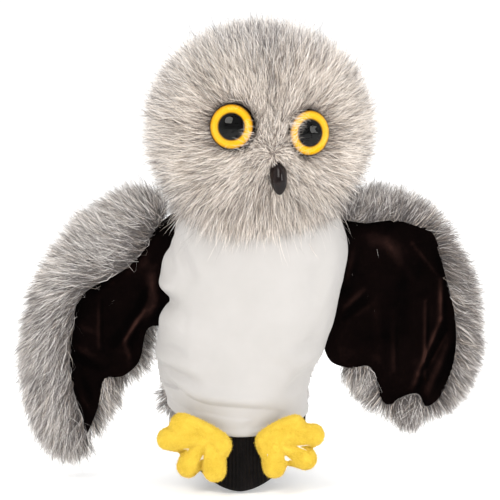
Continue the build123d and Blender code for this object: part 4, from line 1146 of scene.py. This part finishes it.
for side, F in FEET.items():
    t = R(20.0 * F["side"])
    way = np.array([math.sin(t), -math.cos(t), 0.0])
    ax = np.array([math.cos(t), math.sin(t), 0.0])
    up = np.array([0.0, 0.0, 1.0])
    xs = np.arange(-42, 44, 0.9)
    ys = np.arange(-26, 32, 0.9)
    gx, gy = np.meshgrid(xs, ys)
    grid = np.stack([gx.ravel(), gy.ravel()], 1)
    d = foot_field(grid, F)
    # outline of the field by marching squares, walked into one ring
    D = d.reshape(gx.shape)
    segs = []
    for r_ in range(D.shape[0] - 1):
        for c_ in range(D.shape[1] - 1):
            quad = [(r_, c_), (r_, c_ + 1), (r_ + 1, c_ + 1), (r_ + 1, c_)]
            vals = [D[q] for q in quad]
            cuts = []
            for i in range(4):
                a, b = vals[i], vals[(i + 1) % 4]
                if (a > 0) != (b > 0):
                    s = a / (a - b)
                    qa, qb = quad[i], quad[(i + 1) % 4]
                    cuts.append((xs[qa[1]] + s * (xs[qb[1]] - xs[qa[1]]), ys[qa[0]] + s * (ys[qb[0]] - ys[qa[0]])))
            if len(cuts) == 2:
                segs.append(cuts)
    # chain the segments
    key = lambda q: (round(q[0], 3), round(q[1], 3))
    nbr = {}
    for a, b in segs:
        nbr.setdefault(key(a), []).append(key(b))
        nbr.setdefault(key(b), []).append(key(a))
    start = max(nbr, key=lambda q: q[0])
    ring, prev, cur = [start], None, start
    while True:
        nxt = [q for q in nbr[cur] if q != prev]
        if not nxt or nxt[0] == start:
            break
        prev, cur = cur, nxt[0]
        ring.append(cur)
        if len(ring) > 5000:
            break
    ring = np.array(ring)
    v2, f2 = fill_outline(ring, 0.95)
    d, _ = outline_distance(ring, v2)
    prof = np.sqrt(np.clip(1 - (1 - np.clip(d / 6.5, 0, 1)) ** 2, 0, 1))
    p3 = np.concatenate([v2, np.zeros((len(v2), 1))], 1)
    puff = 5.9 * prof + 0.45 * value_noise(p3, 7.0, 41) * np.clip(d / 4, 0, 1)
    # stitched valleys between the toes
    valley = np.zeros(len(v2))
    toes = [np.array(q, float) for pair in F["toes"] for q in pair]
    for (a1, b1), (a2, b2) in zip(F["toes"][:-1], F["toes"][1:]):
        s0 = (np.array(a1, float) + np.array(a2, float)) / 2
        s1 = (np.array(b1, float) + np.array(b2, float)) / 2
        ab = s1 - s0
        tt = np.clip(((v2 - s0) @ ab) / (ab @ ab), 0, 1)
        dd = np.linalg.norm(v2 - s0 - tt[:, None] * ab, axis=1)
        valley += 2.2 * np.exp(-(dd / 1.5) ** 2) * (0.3 + 0.7 * tt)
    toe_h = np.zeros(len(v2))
    for a, b in F["toes"]:
        a, b = np.array(a, float), np.array(b, float)
        ab = b - a
        tt = np.clip(((v2 - a) @ ab) / (ab @ ab), 0, 1)
        r = 7.2 + 0.6 * np.sin(np.pi * tt)
        dist = np.linalg.norm(v2 - a - tt[:, None] * ab, axis=1)
        toe_h = np.maximum(toe_h, 6.3 * np.sqrt(np.clip(1 - (dist / r) ** 2, 0, 1)))
    dp, _ = outline_distance(closed_curve(F["palm"], 1.5), v2)
    palm_h = 5.0 * np.sqrt(np.clip(1 - (1 - np.clip(dp / 6.5, 0, 1)) ** 2, 0, 1))
    rounded = np.maximum(toe_h, palm_h) + 0.45 * value_noise(p3, 7.0, 41)
    puff = np.minimum(puff * 1.08, np.maximum(rounded, 2.2))
    puff = np.maximum(puff - valley * np.clip(d / 3.0, 0, 1), 0.15)
    puff = np.where(d < 0.05, 0.0, puff)
    base = way * 51.5
    flatp = base + v2[:, :1] * ax + v2[:, 1:] * up
    co = np.concatenate([flatp + way * puff[:, None], flatp - way * puff[:, None]])
    nv = len(v2)
    area2 = np.cross(v2[f2[:, 1]] - v2[f2[:, 0]], v2[f2[:, 2]] - v2[f2[:, 0]])
    f2 = np.where(area2[:, None] > 0, f2, f2[:, ::-1])
    foot = make(f"foot_{side}_fleece", co, None, np.concatenate([f2, f2[:, ::-1] + nv]), FLEECE)
    clean(foot, 2e-5)
    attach(foot, f"foot_{side}")
    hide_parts(f"foot_{side}_upper", f"foot_{side}_sole")
    # short brushed nap
    rng = np.random.default_rng(51 if side == "left" else 52)
    me = foot.data
    nf = int(24000 * DENS)
    centre = np.zeros(len(me.polygons) * 3)
    me.polygons.foreach_get("center", centre)
    nrm = np.zeros(len(me.polygons) * 3)
    me.polygons.foreach_get("normal", nrm)
    ar = np.zeros(len(me.polygons))
    me.polygons.foreach_get("area", ar)
    pick = rng.choice(len(ar), nf, p=ar / ar.sum())
    c = centre.reshape(-1, 3)[pick] * 1000 + rng.normal(0, 0.25, (nf, 3))
    nn = nrm.reshape(-1, 3)[pick]
    rnd = unit(rng.normal(0, 1, (nf, 3)))
    nap_ = strands(f"foot_{side}_nap", c, nn, unit(rnd - nn * (rnd * nn).sum(1, keepdims=True)), 1.9, 0.17,
                   rng.uniform(0.05, 0.95, nf), 61, mat=NAP, segs=2, lift=1.0, splay=0.5, clump=0)
    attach(nap_, f"foot_{side}")
    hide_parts(f"foot_{side}_upper", f"foot_{side}_sole")

# ---------------------------------------------------------------------------- tail
TAIL = closed_curve([(-27, 50), (22, 50), (31, 30), (36, 10), (23, -1), (4, -5), (-21, -3), (-42, 3), (-48, 14), (-38, 32)], 2.0)
v2, f2 = fill_outline(TAIL, 2.0)
d, _ = outline_distance(TAIL, v2)
rim = np.sqrt(np.clip(1 - (1 - np.clip(d / 3.0, 0, 1)) ** 2, 0, 1))
p3 = np.concatenate([v2, np.zeros((len(v2), 1))], 1)
wv = 0.7 * value_noise(p3, 14.0, 71)
area2 = np.cross(v2[f2[:, 1]] - v2[f2[:, 0]], v2[f2[:, 2]] - v2[f2[:, 0]])
f2 = np.where(area2[:, None] > 0, f2, f2[:, ::-1])
CUT["tail_velvet"] = CUT["tail_cloth"] = cut_of_outline(TAIL)


def tail_in(z):
    """How far the tail's top comes in toward the back, where it is sewn on."""
    return -10.5 * np.clip((z - 32.0) / 18.0, 0, 1) ** 1.6


wv = wv + tail_in(v2[:, 1])
tail_lin = make("tail_velvet", np.stack([v2[:, 0], 56.0 + wv, v2[:, 1]], 1), None, f2, VELVET)
# painted highlight: the tail velvet is coloured lighter where its surface waves bulge outward
tail_lin.data.attributes.new("nap_and_highlight", "FLOAT", "POINT").data.foreach_set("value", (0.2 + 0.15 * (wv - tail_in(v2[:, 1]))).astype(np.float32))
modifier(tail_lin, "SOLIDIFY", thickness=0.0011, offset=-1.0)
apply_all(tail_lin)
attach(tail_lin, "tail")
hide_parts("tail_lining")
nv = len(v2)
tail_pad = make("tail_cloth", np.concatenate([np.stack([v2[:, 0], 58.2 - 0.6 * rim + wv, v2[:, 1]], 1),
                                              np.stack([v2[:, 0], 58.2 + 2.6 * rim + wv, v2[:, 1]], 1)]), None,
                np.concatenate([f2, f2[:, ::-1] + nv]), UNDER_GREY)
clean(tail_pad, 2e-5)
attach(tail_pad, "tail")
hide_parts("tail_fur_panel")
rng = np.random.default_rng(72)
n = int(14000 * DENS)
lo, hi = TAIL.min(0), TAIL.max(0)
xz = rng.uniform(lo, hi, (n * 2, 2))
d, way2 = outline_distance(TAIL, xz)
m = d > 0.2
xz, d, way2 = xz[m][:n], d[m][:n], way2[m][:n]
n = len(xz)
edge = np.clip(1 - d / 5.0, 0, 1)[:, None]
out3 = np.stack([way2[:, 0], np.zeros(n), way2[:, 1]], 1)
normal = unit(np.array([0, 1.0, 0]) * (1.05 - edge) + out3 * edge)
comb = unit(np.array([0, 0, -1.0]) + out3 * edge * 0.9 + np.stack([0.012 * (xz[:, 0] + 6), np.zeros(n), np.zeros(n)], 1))
root = np.stack([xz[:, 0], 60.0 + tail_in(xz[:, 1]), xz[:, 1]], 1)
fur = strands("tail_fur", root, normal, comb, 13.0, 0.42, shades(rng, n, 0.2, 0.6, 0.2, 0.25), 73, lift=0.35, splay=0.16)
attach(fur, "tail")
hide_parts("tail_fur_panel")

# the back's pile falls over the seam where the tail is sewn on
rng = np.random.default_rng(74)
n = int(5200 * DENS)
p = body_point(np.radians(rng.uniform(236, 302, n)), rng.uniform(0.325, 0.47, n), -0.6)
n1 = unit(np.stack([p[:, 0] / 50.0, p[:, 1] / 42.0, np.zeros(n)], -1))
fur = strands("back_seam_fur", p, n1, np.tile(np.array([0.0, 0.0, -1.0]), (n, 1)), np.interp(p[:, 2], [46, 62], [17.0, 21.0]), 0.4,
              shades(rng, n, 0.15, 0.64, 0.2, 0.22), 75, lift=1.1, splay=0.16, clump=0.5)
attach(fur, "torso")
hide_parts("back_fur_panel")

# ---------------------------------------------- kept pieces, hidden inside or behind
KEPT = {
    "head_filling": STUFFING, "head_finger_pocket": KNIT, "beak_washer": WHITE_PLASTIC,
    "eye_left_washer": WHITE_PLASTIC, "eye_right_washer": WHITE_PLASTIC,
    "wing_left_finger_pocket": KNIT, "wing_right_finger_pocket": KNIT,
    "foot_left_filling": STUFFING, "foot_right_filling": STUFFING,
}
for node, mat in KEPT.items():
    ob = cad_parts[node]
    ob.data.materials.clear()
    ob.data.materials.append(mat)
